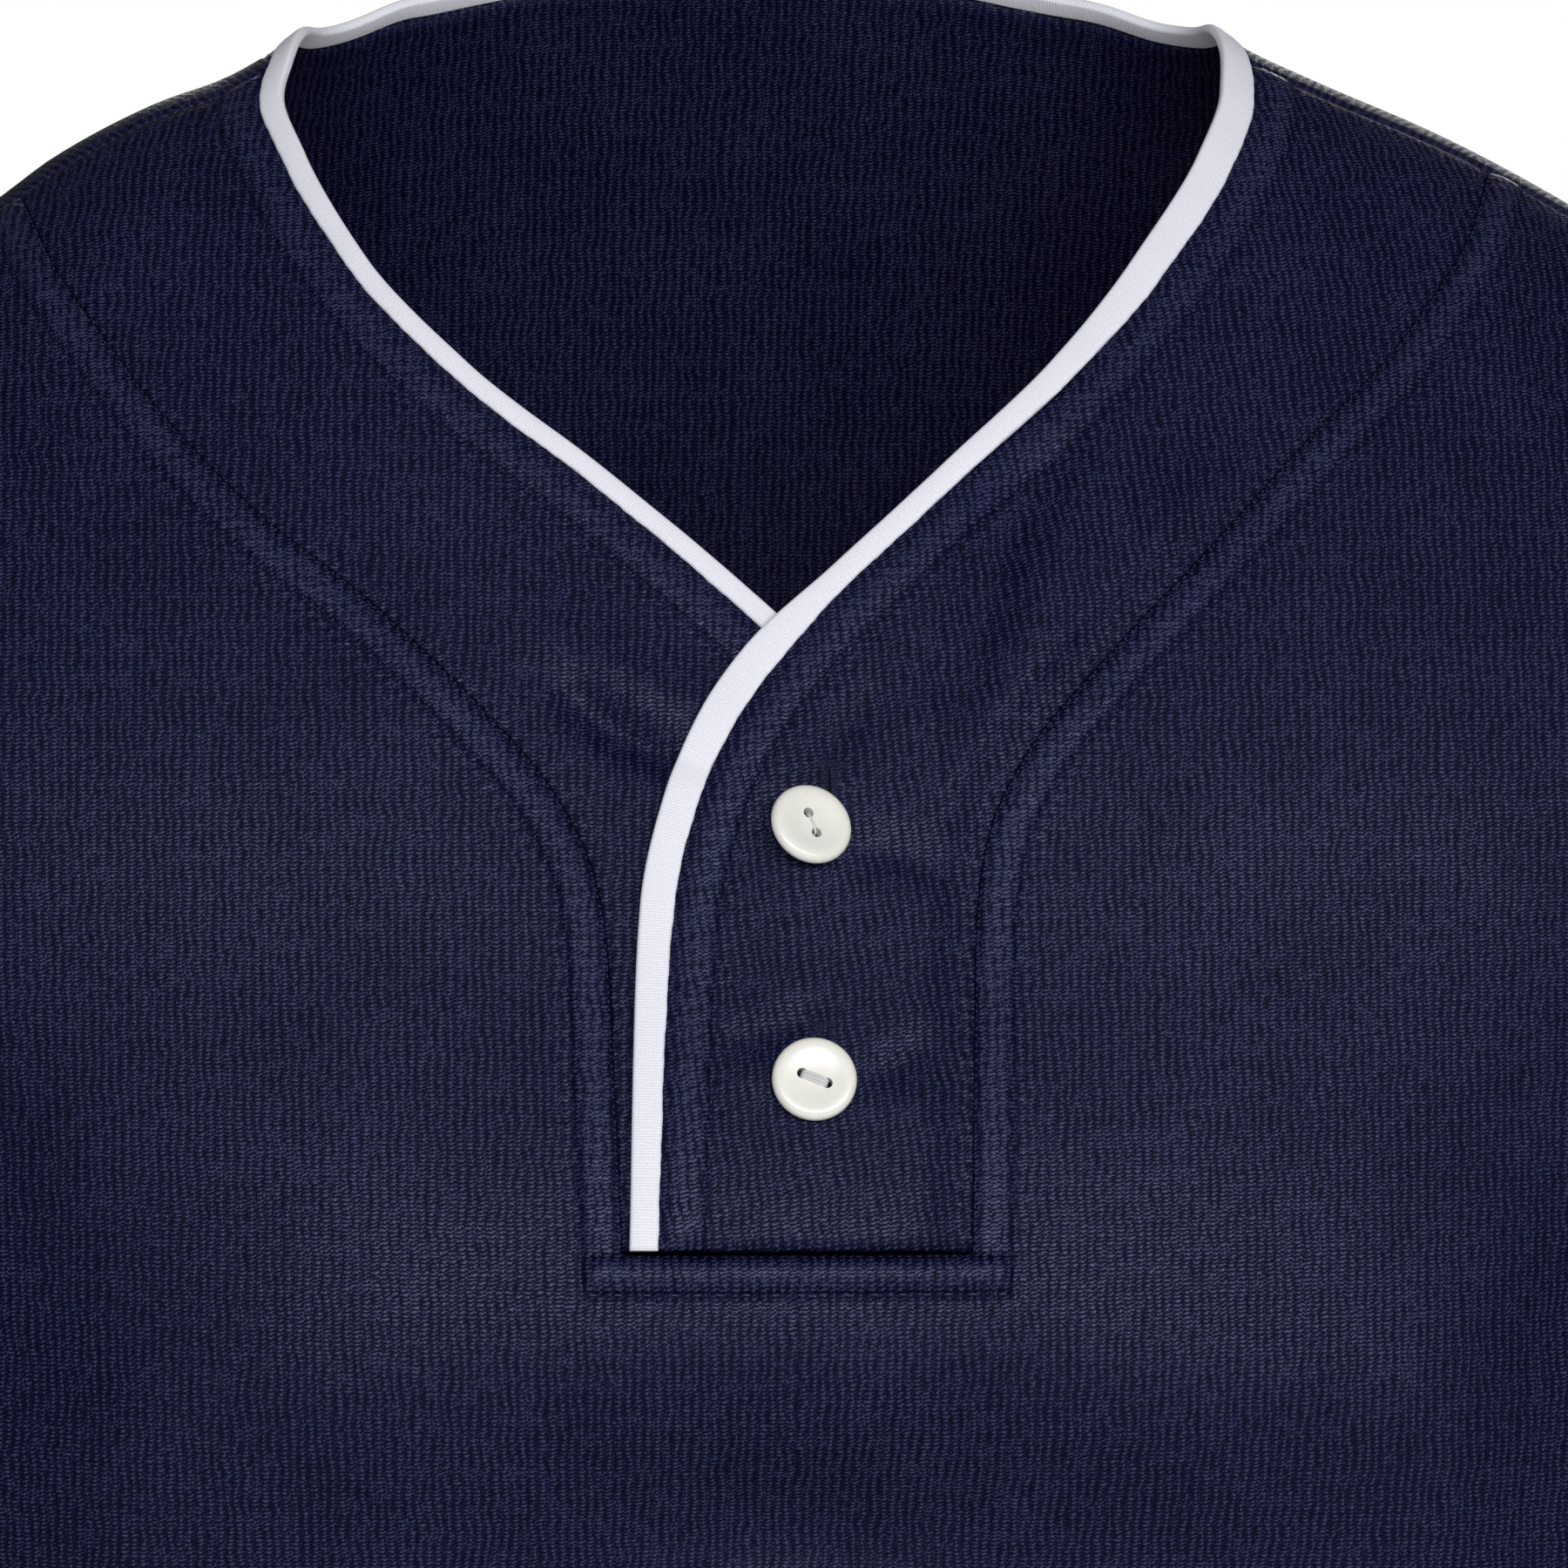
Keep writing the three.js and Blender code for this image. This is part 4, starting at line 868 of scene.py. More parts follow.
def front_piece():
    turn, rise, aside, edge = front_grid()
    at = body_point(turn, rise, -1)
    down = lengths_along(at)
    along = np.concatenate([down[: ROWS + 1], at[ROWS + 1 :, :, 0] + 0 * down[ROWS + 1 :]])
    slant = np.where(at[..., 0] > 0, 1, -1)
    off = CLOTH + strip_relief(aside, SEAM_STRIP, along, slant)
    other = edge + MIDDLE_COLUMNS
    off[: ROWS + 1, [edge, other]] -= EDGE_DEPTH
    off[ROWS, edge + 1 : other] -= FOOT_DEPTH
    foot_plump = FOOT_PLUMP * np.sin(math.pi * np.clip(DROP_STEPS / SEAM_STRIP, 0, 1))
    foot_plump -= FOOT_GULLY * bell(DROP_STEPS, SEAM_STRIP, GULLY_WIDTH)
    foot_plump -= FOOT_DEPTH * bell(DROP_STEPS, 0, 1.1)
    across = 1 - smoothstep(aside[ROWS], SEAM_STRIP - 1.5, SEAM_STRIP + 1)
    off[ROWS + 1 : ROWS + 1 + len(DROP_STEPS)] += foot_plump[:, None] * across[None, :]
    sides = rolled_edges(at, top=False)
    top = edge_drop(down)
    top[:, edge + 1 : other] = 0
    off -= sides + top
    keep = np.ones((turn.shape[0] - 1, turn.shape[1] - 1), dtype=bool)
    keep[:ROWS, edge:other] = False
    above_hem = rise - HEM_RISE
    to_row = np.where(above_hem < HEM_MARKS_TOP, row_above(above_hem), aside - SEAM_STRIP)
    points = meet_at_sides(on_cloth(turn, rise, -1, off), ROWS, 1)
    return cloth("front_cloth", points, grain_at(turn, rise, -1),
                 body_normal(turn, rise, -1), marks(along, to_row), np.abs(aside), keep)


def row_above(above):
    """Way to the nearer of the two rows of stitches over a hem."""
    return np.where(above < HEM_STRIP_TOP, above - HEM_ROWS[0], above - HEM_ROWS[1])


def flap_lift(along, from_seam):
    return FLAP_LIFT * smoothstep(along, FLAP_START, FLAP_FREE) * smoothstep(
        from_seam, FLAP_HINGE, FLAP_CLEAR)


def band_piece(name, rows, start, end, is_flap, tilt):
    """Neck band from beside the binding to its seam with the front."""
    sign = float(np.sign(rows["x"][0]))
    near = beside_neck(start, end, NECK_STEPS)
    far = beside_seam(rows, SEAM_STEPS, sign, FOOT_RISE)
    share = np.arange(1, BAND_COLUMNS) / BAND_COLUMNS
    wide = settle_on_shoulder(mix(near[..., -1:], far[..., :1], share))
    x, rise = np.concatenate([near, wide, far], axis=-1)
    turn = turn_of(x, rise)
    at = body_point(turn, rise, -1)
    from_neck = np.concatenate([NECK_STEPS, np.full(x.shape[1] - len(NECK_STEPS), FAR_OFF)])
    from_seam = np.concatenate([np.full(x.shape[1] - len(SEAM_STEPS), FAR_OFF), SEAM_STEPS])
    along = lengths_along(at)
    pulled = np.cos(2 * math.pi * along / STITCH_PITCH) * bell(from_seam, 0, 1.5)
    off = CLOTH + strip_relief(from_neck[None, :], NECK_STRIP, along, sign)
    off -= edge_drop(from_seam)[None, :] + 0.1 * pulled + 0.12 * bell(from_seam, 0, 1.8)
    off[:, 0] -= EDGE_DEPTH * 0.3
    off[:, -1] -= EDGE_DEPTH
    if is_flap:
        from_far = np.linalg.norm(at - at[:, -1:], axis=-1)
        off += flap_lift(np.linspace(0, 1, ROWS + 1)[:, None], from_far)
    off -= rolled_edges(at, foot=False, sides=False) + edge_drop(along[-1] - along, FOOT_ROLL)
    return cloth(name, on_cloth(turn, rise, -1, off), grain_at(turn, rise, -1, tilt),
                 body_normal(turn, rise, -1), marks(along, from_neck[None, :] - NECK_STRIP),
                 np.broadcast_to(from_seam, turn.shape))


BACK_ROWS = 170
ARMHOLE_ROWS = 74
SHOULDER_COLUMNS = 34
NECK_COLUMNS = 74


def back_grid():
    """Turn and rise over the back and forward to the shoulder seams."""

    def shoulder(sign, share):
        spot = neck.aside(np.array([share]), neck.width(np.array([share])) + SEAM_GAP)
        xs = mix(sign * SHOULDER_END, spot[0][0], np.linspace(0, 1, SHOULDER_COLUMNS + 1))
        rise = math.pi * arc_radius(xs) - seam_rise(xs) - SHOULDER_GAP / 2
        return np.stack([turn_of(xs, rise), rise])

    shares = neck.even(RIGHT_SHARE, LEFT_SHARE, NECK_COLUMNS)[1:-1]
    x, rise = neck.aside(shares, neck.width(shares) + SEAM_GAP)
    behind = math.pi * arc_radius(x) - rise
    top = np.concatenate([shoulder(-1, RIGHT_SHARE), np.stack([turn_of(x, behind), behind]),
                          shoulder(1, LEFT_SHARE)[:, ::-1]], axis=1)
    across = top.shape[1]
    edges = []
    for sign in (-1, 1):
        at_seam = np.array(sign * SHOULDER_END, float)
        begin = float(math.pi * arc_radius(at_seam) - seam_rise(at_seam)) - SHOULDER_GAP / 2
        upper = np.stack(armhole_spots(sign, ARMHOLE_ROWS, begin, 1))
        low = np.linspace(UNDERARM - CHEST_BASE, HEM_RISE, BACK_ROWS - ARMHOLE_ROWS + 1)[1:]
        edges.append(np.concatenate([upper, np.stack([sign * side_turn(low), low])], axis=1))
    u = np.arange(across) / (across - 1)
    bottom_turn = np.sign(u - 0.5) * np.arcsin(np.abs(2 * u - 1) ** (ROUNDNESS / 2))
    bottom_turn[[0, -1]] = edges[0][0, -1], edges[1][0, -1]
    down = (edges[0][1] - edges[0][1, 0]) / (edges[0][1, -1] - edges[0][1, 0])
    reach = np.clip(1 - u / 0.22, 0, 1) ** 1.1
    between = mix(top[0][None, :], bottom_turn[None, :], down[:, None])
    turn = (between + reach * (edges[0][0] - between[:, 0])[:, None]
            + reach[::-1] * (edges[1][0] - between[:, -1])[:, None])
    level = np.clip(1 - np.arange(BACK_ROWS + 1) / ARMHOLE_ROWS, 0, 1) ** 1.5
    rise = edges[0][1][:, None] + (top[1] - top[1][0])[None, :] * level[:, None]
    return turn, rise


def meet_at_sides(points, row, way):
    """Laps the side edges from that row down a little over the other piece's."""
    points[row:, [0, -1], 1] = way * SIDE_LAP
    return points


def back_piece():
    turn, rise = back_grid()
    at = body_point(turn, rise, 1)
    off = CLOTH - rolled_edges(at)
    points = meet_at_sides(on_cloth(turn, rise, 1, off), ARMHOLE_ROWS, -1)
    return cloth("back_cloth", points, grain_at(turn, rise, 1),
                 body_normal(turn, rise, 1), marks(at[..., 0], row_above(rise - HEM_RISE)),
                 lengths_along(at) + 0.4)


UNDER_END = 0.996


def binding_piece():
    """White binding over the neck edge and down both edges of the placket."""
    shares = np.concatenate([
        neck.even(0, LEFT_SHARE, ROWS), neck.even(LEFT_SHARE, RIGHT_SHARE, 210)[1:],
        neck.even(RIGHT_SHARE, UNDER_END, ROWS)[1:],
    ])
    near = neck.spot(shares)
    width = neck.width(shares)
    far = neck.aside(shares, width)
    far[1, [0, -1]] = near[1, [0, -1]]
    turns = turn_of(near[0], near[1]), turn_of(far[0], far[1])
    a, b = body_point(turns[0], near[1], -1), body_point(turns[1], far[1], -1)
    out_a, out_b = body_normal(turns[0], near[1], -1), body_normal(turns[1], far[1], -1)
    lift = np.where(shares < LEFT_SHARE, flap_lift(1 - shares / LEFT_SHARE, FLAP_CLEAR), 0)
    along = lengths_along(a)
    crease = crease_at(np.where(a[:, 1] > 0, 1, -1), a[:, 0], a[:, 2])
    bevel, low, high = 0.7, -BINDING_BELOW, BINDING_THICKNESS - BINDING_BELOW
    outline = []
    for edge, inset, up, begin in ((0, bevel, low + bevel, 180), (1, -bevel, low + bevel, 270),
                                   (1, -bevel, high - bevel, 0), (0, bevel, high - bevel, 90)):
        for angle in np.radians(begin + np.linspace(0, 90, 5)):
            outline.append((edge, inset + bevel * math.cos(angle), up + bevel * math.sin(angle)))
        if begin == 0:
            outline += [(part, 0, high + 0.1) for part in (0.74, 0.5, 0.26)]
    tooth = 0.1 * np.abs((along / 1.7) % 2 - 1) + 0.1 * np.sin(along / 5.3) * np.sin(along / 2.1)
    points, grain = [], []
    for edge, inset, up in outline:
        across = edge * width + inset + (tooth if edge == 1 and up > 0.3 else 0)
        part = (across / width)[:, None]
        out = unit(mix(out_a, out_b, part))
        soft = 0.07 * np.sin(along / 3.1) * np.sin(along / 7.7)
        points.append(mix(a, b, part) + out * (up + lift + crease + soft)[:, None])
        grain.append(np.stack([along, across + (up if up > 0 else -up)], -1))
    points, grain = np.stack(points, 1), np.stack(grain, 1)
    piece = mesh_object("neck_binding_cloth", points.reshape(-1, 3),
                        tube_faces(*points.shape[:2]), WHITE,
                        {"grain": grain.reshape(-1, 2)})
    return outward(piece)


SLEEVE_ROWS = 64
SLEEVE_FRONT_COLUMNS = 120
CUFF_CENTRE = np.array([264.0, 2.0, -238.0])
CUFF_HALF_WIDTH, CUFF_HALF_DEPTH = 53, 57
SLEEVE_TILT = math.radians(22)
SLEEVE_FOLDS = columns(
    "turn0 down0 turn1 down1 width depth",
    (0.42, 0.02, 0.24, 0.5, 8, -2.4), (0.55, 0.04, 0.74, 0.56, 9, -2.6),
    (0.47, 0.1, 0.36, 0.8, 9, 1.6), (0.12, 0.1, 0.2, 0.6, 10, -1.4),
    (0.86, 0.14, 0.78, 0.7, 10, -1.8), (0.64, 0.3, 0.62, 0.95, 12, 1.5),
)


def sleeve_piece(name, sign):
    """Set-in short sleeve from the armhole to its open cuff."""
    at_seam = np.array(sign * SHOULDER_END, float)
    seam = float(seam_rise(at_seam))
    front = armhole_spots(sign, SLEEVE_FRONT_COLUMNS, seam, -1)
    back = armhole_spots(sign, ARMHOLE_ROWS, float(math.pi * arc_radius(at_seam)) - seam, 1)
    loop = np.concatenate([body_point(front[0], front[1], -1),
                           body_point(back[0], back[1], 1)[::-1][1:]])
    outs = np.concatenate([body_normal(front[0], front[1], -1),
                           body_normal(back[0], back[1], 1)[::-1][1:]])
    lengths = lengths_along(loop)
    loop, outs, share = loop[:-1], outs[:-1], (lengths / lengths[-1])[:-1, None]
    along = np.roll(loop, -1, axis=0) - np.roll(loop, 1, axis=0)
    away = unit(np.cross(outs, along) * sign)
    under = 0.5 - 0.5 * np.cos(2 * math.pi * share)
    clear = smoothstep(under, 0.5, 0.95)
    lead = unit(np.array([1, 0, -0.3])) * np.array([sign, 1, 1])
    led = mix(0.35, 1, under)
    pull = unit(away * (1 - led) + lead * led)
    start = loop - away * SLEEVE_LAP + outs * clear * (CLOTH + SEAM_GAP + 0.3)
    outward_way = np.array([sign * math.cos(SLEEVE_TILT), 0, math.sin(SLEEVE_TILT)])
    axis = np.array([sign * math.sin(SLEEVE_TILT), 0, -math.cos(SLEEVE_TILT)])
    angle = 2 * math.pi * share
    end = (CUFF_CENTRE * [sign, 1, 1] + outward_way * CUFF_HALF_WIDTH * np.cos(angle)
           + np.array([0, -1, 0]) * CUFF_HALF_DEPTH * np.sin(angle))
    t = np.concatenate([[0, 0.003, 0.008], np.linspace(0.016, 0.985, SLEEVE_ROWS - 5),
                        [0.992, 0.997, 1]])
    t = t[:, None, None]
    points = hermite(start, 70 * pull, end, 80 * axis, t)
    round_way = np.roll(points, -1, axis=1) - np.roll(points, 1, axis=1)
    down_way = np.gradient(points, axis=0)
    out = unit(np.cross(round_way, down_way) * sign)
    first = unit(mix(out[0], outs, 1 - clear))
    first += outs * np.maximum(0, 0.15 - (first * outs).sum(1, keepdims=True))
    out[0] = unit(first)
    settle = np.exp(-t[:6] / 0.02)
    out[:6] = mix(out[:6], out[0], settle)
    out = unit(out)
    points, out = [np.concatenate([part, part[:, :1]], axis=1) for part in (points, out)]
    turns = np.append(share[:, 0], 1)
    down = lengths_along(points)
    girth = lengths_across(points)
    off = CLOTH - edge_drop(down) - edge_drop(down[-1] - down)
    off += sleeve_fold(turns, t[:, 0, 0], girth, down)
    grain = np.stack([girth * sign, -down], -1)
    piece = cloth(name, points + out * off[..., None], grain, out,
                  marks(girth, row_above(down[-1] - down)), down + 0.2, closed=True)
    return piece, points, out, off


def sleeve_fold(turn, t, girth, down):
    depth = np.zeros(down.shape)
    full, long = girth[:, -1:], down[-1:, :]
    for row in rows_of(SLEEVE_FOLDS):
        part = np.clip((t - row["down0"]) / (row["down1"] - row["down0"]), 0, 1)[:, None]
        centre = mix(row["turn0"], row["turn1"], part)
        aside = (turn[None, :] - centre) * full
        beyond = (t[:, None] - mix(row["down0"], row["down1"], part)) * long
        taper = np.sin(math.pi * np.clip(part, 0.03, 0.97)) ** 0.7
        depth += row["depth"] * taper * np.exp(-(aside**2 + beyond**2) / row["width"] ** 2)
    return depth


# ---------------------------------------------------------------- sewing

HEM_STITCH = (3.4, 2.4)
HEM_STITCH_OFF = 0.04
# Which stitches get the lighter thread of painted glints.
FIRST_GLINT, GLINT_EVERY = 3, 14
# Place along a stitch and share of its width, for each of its rings.
STITCH_RINGS = ((-1.0, 0.0), (-0.82, 0.62), (-0.3, 1.0), (0.3, 1.0), (0.82, 0.62), (1.0, 0.0))


def stitch_row(points, outs, pitch, length):
    """Places for stitches along a line: both ends and the way out of the cloth."""
    along = lengths_along(points)
    middles = np.arange(pitch / 2, along[-1] - length / 2, pitch)
    middles = middles + 0.12 * pitch * np.sin(middles * 1.7)
    places = []
    for middle in middles:
        ends = [np.array([np.interp(middle + half, along, points[:, k]) for k in range(3)])
                for half in (-length / 2, length / 2)]
        out = np.array([np.interp(middle, along, outs[:, k]) for k in range(3)])
        places.append((ends[0], ends[1], unit(out)))
    return places


def stitches(name, places, width, height, material):
    """All the stitches of one kind as one mesh."""
    points, faces = [], []
    sides = 6
    turns = np.linspace(0, 2 * math.pi, sides + 1)[:-1]
    for start, end, out in places:
        way = (end - start) / 2
        middle = (start + end) / 2
        across = unit(np.cross(way, out))
        base = len(points)
        points.append(middle - way)
        for place, wide in STITCH_RINGS[1:-1]:
            for turn in turns:
                points.append(middle + way * place + across * width / 2 * wide * math.cos(turn)
                              + out * height * wide * math.sin(turn))
        points.append(middle + way)
        last = len(points) - 1
        for k in range(sides):
            after = (k + 1) % sides
            faces.append((base, base + 1 + after, base + 1 + k))
            for ring in range(len(STITCH_RINGS) - 3):
                a = base + 1 + ring * sides
                faces.append((a + k, a + after, a + sides + after, a + sides + k))
            faces.append((last, last - sides + k, last - sides + after))
    return outward(mesh_object(name, points, faces, material))


def line_on_front(x, rise, off, lift=0):
    turn = turn_of(x, rise)
    return on_cloth(turn, rise, -1, CLOTH + off + lift), body_normal(turn, rise, -1)


def seam_stitches():
    """Rows of stitches beside the binding, down both neck bands."""
    places = []
    for start, end, is_flap in ((LEFT_SHARE, 0, True), (RIGHT_SHARE, 1, False)):
        line = beside_neck(start, end, [NECK_STRIP])[..., 0]
        share = np.linspace(0, 1, ROWS + 1)
        lift = flap_lift(share, 40) if is_flap else 0 * share
        places += stitch_row(*line_on_front(line[0], line[1], -0.12, lift), STITCH_PITCH, 1.4)
    return places


def seam_beads():
    """Short stitches that show in the seams between the bands and the front."""
    places = []
    for rows, sign in ((LEFT_SEAM, 1), (RIGHT_SEAM, -1)):
        line = beside_seam(rows, [0.12], -sign, FOOT_RISE - SEAM_GAP)[..., 0]
        places += stitch_row(*line_on_front(line[0], line[1], -0.02), SEAM_PITCH, 0.62)
    return places


def foot_stitches():
    reach = abs(LEFT_SEAM["x"][-1]) + SEAM_STRIP
    x = np.linspace(-reach, reach, 160)
    rise = np.full(x.shape, FOOT_RISE - SEAM_GAP - SEAM_STRIP)
    return stitch_row(*line_on_front(x, rise, -0.05), 4.5, 2.4)


def hem_stitches(grid, side):
    places = []
    turn, rise = grid
    for above in HEM_ROWS:
        row = int(np.argmin(np.abs(rise[:, rise.shape[1] // 2] - (HEM_RISE + above))))
        level = np.full(turn[row].shape, float(HEM_RISE + above))
        at = on_cloth(turn[row], level, side, CLOTH + HEM_STITCH_OFF)
        places += stitch_row(at, body_normal(turn[row], rise[row], side), *HEM_STITCH)
    return places


def cuff_stitches(points, out, off):
    places = []
    down = lengths_along(points)
    for above in HEM_ROWS:
        goal = down[-1] - above
        line, normal = [], []
        for j in range(points.shape[1]):
            i = min(int(np.searchsorted(down[:, j], goal[j])), len(down) - 1)
            t = (goal[j] - down[i - 1, j]) / (down[i, j] - down[i - 1, j])
            surface = points[:, j] + out[:, j] * (off[:, j, None] + HEM_STITCH_OFF)
            line.append(mix(surface[i - 1], surface[i], t))
            normal.append(out[i, j])
        places += stitch_row(np.array(line), np.array(normal), *HEM_STITCH)
    return places


# ---------------------------------------------------------------- buttons

BUTTON_RADIUS = 7.6
BUTTON_HEIGHT = 2.6
HOLE_RADIUS = 0.95
BUTTON_RINGS = columns(
    "radius height",
    (0.8, 0), (0.9, 0.05), (0.97, 0.2), (1, 0.42), (0.995, 0.6), (0.97, 0.77), (0.925, 0.9),
    (0.86, 0.975), (0.78, 1), (0.7, 0.985), (0.6, 0.93), (0.5, 0.87), (0.38, 0.81), (0.2, 0.77),
    (0.08, 0.765),
)
BUTTONS = (
    {"name": "upper_button", "node": "button_upper", "x": 3.1, "z": -140.4, "face": (0.3, 0.42),
     "holes_turn": 69, "spacing": 4.0, "strands": (0.0,), "thread": 0.5},
    {"name": "lower_button", "node": "button_lower", "x": 3.1, "z": -185.1, "face": (0.02, 0.28),
     "holes_turn": 22, "spacing": 4.8, "strands": (-0.5, 0.0, 0.5), "thread": 0.62},
)
# Middle of each buttonhole and its turn in degrees.
BUTTONHOLES = ((7.0, -136.2, 3), (5.4, -182.8, 0))
BUTTONHOLE_LENGTH = 15
SLIT_HALF_LENGTH, SLIT_LEAN = 7.2, 0.4


def button_blank():
    """Dished round button, raised ring by ring from its foot."""
    bpy.ops.object.select_all(action="DESELECT")
    first = BUTTON_RINGS["radius"][0] * BUTTON_RADIUS * MM
    bpy.ops.mesh.primitive_circle_add(vertices=72, radius=first, fill_type="NGON",
                                      location=(0, 0, 0))
    piece = bpy.context.active_object
    bpy.ops.object.mode_set(mode="EDIT")
    bpy.ops.mesh.select_mode(type="FACE")
    bpy.ops.mesh.select_all(action="SELECT")
    radius, height = BUTTON_RINGS["radius"][0], 0.0
    for next_radius, next_height in zip(BUTTON_RINGS["radius"][1:], BUTTON_RINGS["height"][1:]):
        up = (next_height - height) * BUTTON_HEIGHT * MM
        bpy.ops.mesh.extrude_region_move(TRANSFORM_OT_translate={"value": (0, 0, up)})
        grow = next_radius / radius
        bpy.ops.transform.resize(value=(grow, grow, 1), center_override=(0, 0, 0))
        radius, height = next_radius, next_height
    bpy.ops.object.mode_set(mode="OBJECT")
    return outward(piece)


def drill(piece, x):
    """Cuts a rounded thread hole through the button at x."""
    bpy.ops.object.select_all(action="DESELECT")
    bpy.ops.mesh.primitive_cylinder_add(vertices=28, radius=HOLE_RADIUS * MM, depth=12 * MM,
                                        location=(x * MM, 0, 0))
    drill_bit = bpy.context.active_object
    cut = piece.modifiers.new("hole", "BOOLEAN")
    cut.operation, cut.solver, cut.object = "DIFFERENCE", "EXACT", drill_bit
    only(piece)
    bpy.ops.object.modifier_apply(modifier=cut.name)
    bpy.data.objects.remove(drill_bit, do_unlink=True)


def tube_faces(rings, sides):
    """Faces round a closed tube of rings, with both its ends."""
    index = np.arange(rings * sides).reshape(rings, sides)
    after = np.roll(index, -1, 1)
    quads = np.stack([index[:-1], after[:-1], after[1:], index[1:]], -1)
    return quads.reshape(-1, 4).tolist() + [index[0, ::-1].tolist(), index[-1].tolist()]


def thread_tube(points, radius, sides=8):
    """Points and faces of a round thread through the points."""
    points = np.asarray(points, float)
    ways = unit(np.gradient(points, axis=0))
    aside = unit(np.cross(ways, [0, 1, 0]))
    over = np.cross(ways, aside)
    turns = np.linspace(0, 2 * math.pi, sides + 1)[:-1]
    rings = np.stack([points + radius * (aside * math.cos(a) + over * math.sin(a))
                      for a in turns], 1)
    return rings.reshape(-1, 3), tube_faces(len(points), sides)


def button_place(row):
    """Matrix that seats a button on the flap, facing as it does in the photo."""
    rise = np.array(rise_of(np.array(row["x"]), np.array(float(row["z"])), np.array(0.0)), float)
    turn = turn_of(np.array(row["x"]), rise)
    at, out = body_point(turn, rise, -1), body_normal(turn, rise, -1)
    across, up = row["face"]
    face = Vector((across, -math.sqrt(1 - across**2 - up**2), up))
    level = (Vector((1, 0, 0)) - face * face.x).normalized()
    fall = math.radians(row["holes_turn"])
    holes = level * math.cos(fall) - face.cross(level) * math.sin(fall)
    lean = math.sin(face.angle(Vector(out))) * BUTTON_RADIUS * 0.82
    seat = Vector((at + out * (FLAP_LIFT + CLOTH + 0.3 + lean)) * MM)
    third = face.cross(holes)
    return Matrix((
        (holes.x, third.x, face.x, seat.x), (holes.y, third.y, face.y, seat.y),
        (holes.z, third.z, face.z, seat.z), (0, 0, 0, 1),
    ))


def make_button(row, blank):
    piece = blank.copy()
    piece.data = blank.data.copy()
    piece.name = piece.data.name = row["name"]
    bpy.context.scene.collection.objects.link(piece)
    for end in (-1, 1):
        drill(piece, end * row["spacing"] / 2)
    piece.data.transform(button_place(row))
    piece.data.materials.append(GLOSS)
    only(piece)
    bpy.ops.object.shade_smooth_by_angle(angle=math.radians(40))
    return piece


def button_thread(row):
    """Thread through a button's holes, down to the cloth under it."""
    half = row["spacing"] / 2
    points, faces = [], []
    for strand in row["strands"]:
        climb = [(-half + 0.25, strand, -1.0), (-half + 0.1, strand, 0.6),
                 (-half + 0.15, strand, 1.5), (-half + 0.7, strand * 1.1, 1.95)]
        top = (0, strand * 1.15, 2.1 + 0.1 * strand)
        path = climb + [top] + [(-x, y, z) for x, y, z in climb[::-1]]
        tube, new_faces = thread_tube(spline(path, 5), row["thread"] / 2)
        faces += [[len(points) + i for i in face] for face in new_faces]
        points += tube.tolist()
    piece = outward(mesh_object(row["name"] + "_thread", points, faces, PALE_THREAD))
    piece.data.transform(button_place(row))
    return piece


def spline(points, parts):
    """Catmull-Rom curve through the points."""
    p = np.asarray(points, float)
    p = np.vstack([2 * p[0] - p[1], p, 2 * p[-1] - p[-2]])
    t = np.linspace(0, 1, parts + 1)[:-1, None]
    made = []
    for k in range(1, len(p) - 2):
        a, b, c, d = p[k - 1], p[k], p[k + 1], p[k + 2]
        made.append(0.5 * (2 * b + (c - a) * t + (2 * a - 5 * b + 4 * c - d) * t**2
                           + (3 * b - a - 3 * c + d) * t**3))
    return np.vstack(made + [p[-2:-1]])


def buttonhole(x, z, turn_degrees):
    """Overcast stitches round a buttonhole's slit, with a bar at its top end."""
    places = []
    angle = math.radians(turn_degrees)
    way = np.array([math.sin(angle), math.cos(angle)])
    aside = np.array([way[1], -way[0]])
    for k in np.arange(-BUTTONHOLE_LENGTH / 2, BUTTONHOLE_LENGTH / 2, 0.5):
        for edge in (-1, 1):
            inner = np.array([x, z]) + way * k + aside * edge * 0.35
            outer = inner + aside * edge * 1.5
            places.append(flat_stitch(inner, outer))
    for k in np.arange(-1.9, 1.95, 0.45):
        inner = np.array([x, z]) + way * (BUTTONHOLE_LENGTH / 2 - 0.2) + aside * k
        places.append(flat_stitch(inner, inner + way * 1.3))
    return places


def flat_stitch(inner, outer):
    ends = []
    for x, z in (inner, outer):
        rise = np.array([rise_of(np.array(x), np.array(z), np.array(0.0))], float)
        at, out = line_on_front(np.array([x]), rise, 0.02, FLAP_LIFT)
        ends.append((at[0], out[0]))
    return ends[0][0], ends[1][0], ends[0][1]


def shortened(place, share):
    """The middle part of a stitch, a little further out."""
    start, end, out = place
    middle, way = (start + end) / 2 + out * 0.06, (end - start) / 2 * share
    return middle - way, middle + way, out


# ---------------------------------------------------------------- the jersey

front = front_piece()
back = back_piece()
left_band = band_piece("left_band_cloth", LEFT_SEAM, LEFT_SHARE, 0, True, -5)
right_band = band_piece("right_band_cloth", RIGHT_SEAM, RIGHT_SHARE, 1, False, 2)
binding = binding_piece()
left_sleeve, *left_form = sleeve_piece("left_sleeve_cloth", 1)
right_sleeve, *right_form = sleeve_piece("right_sleeve_cloth", -1)

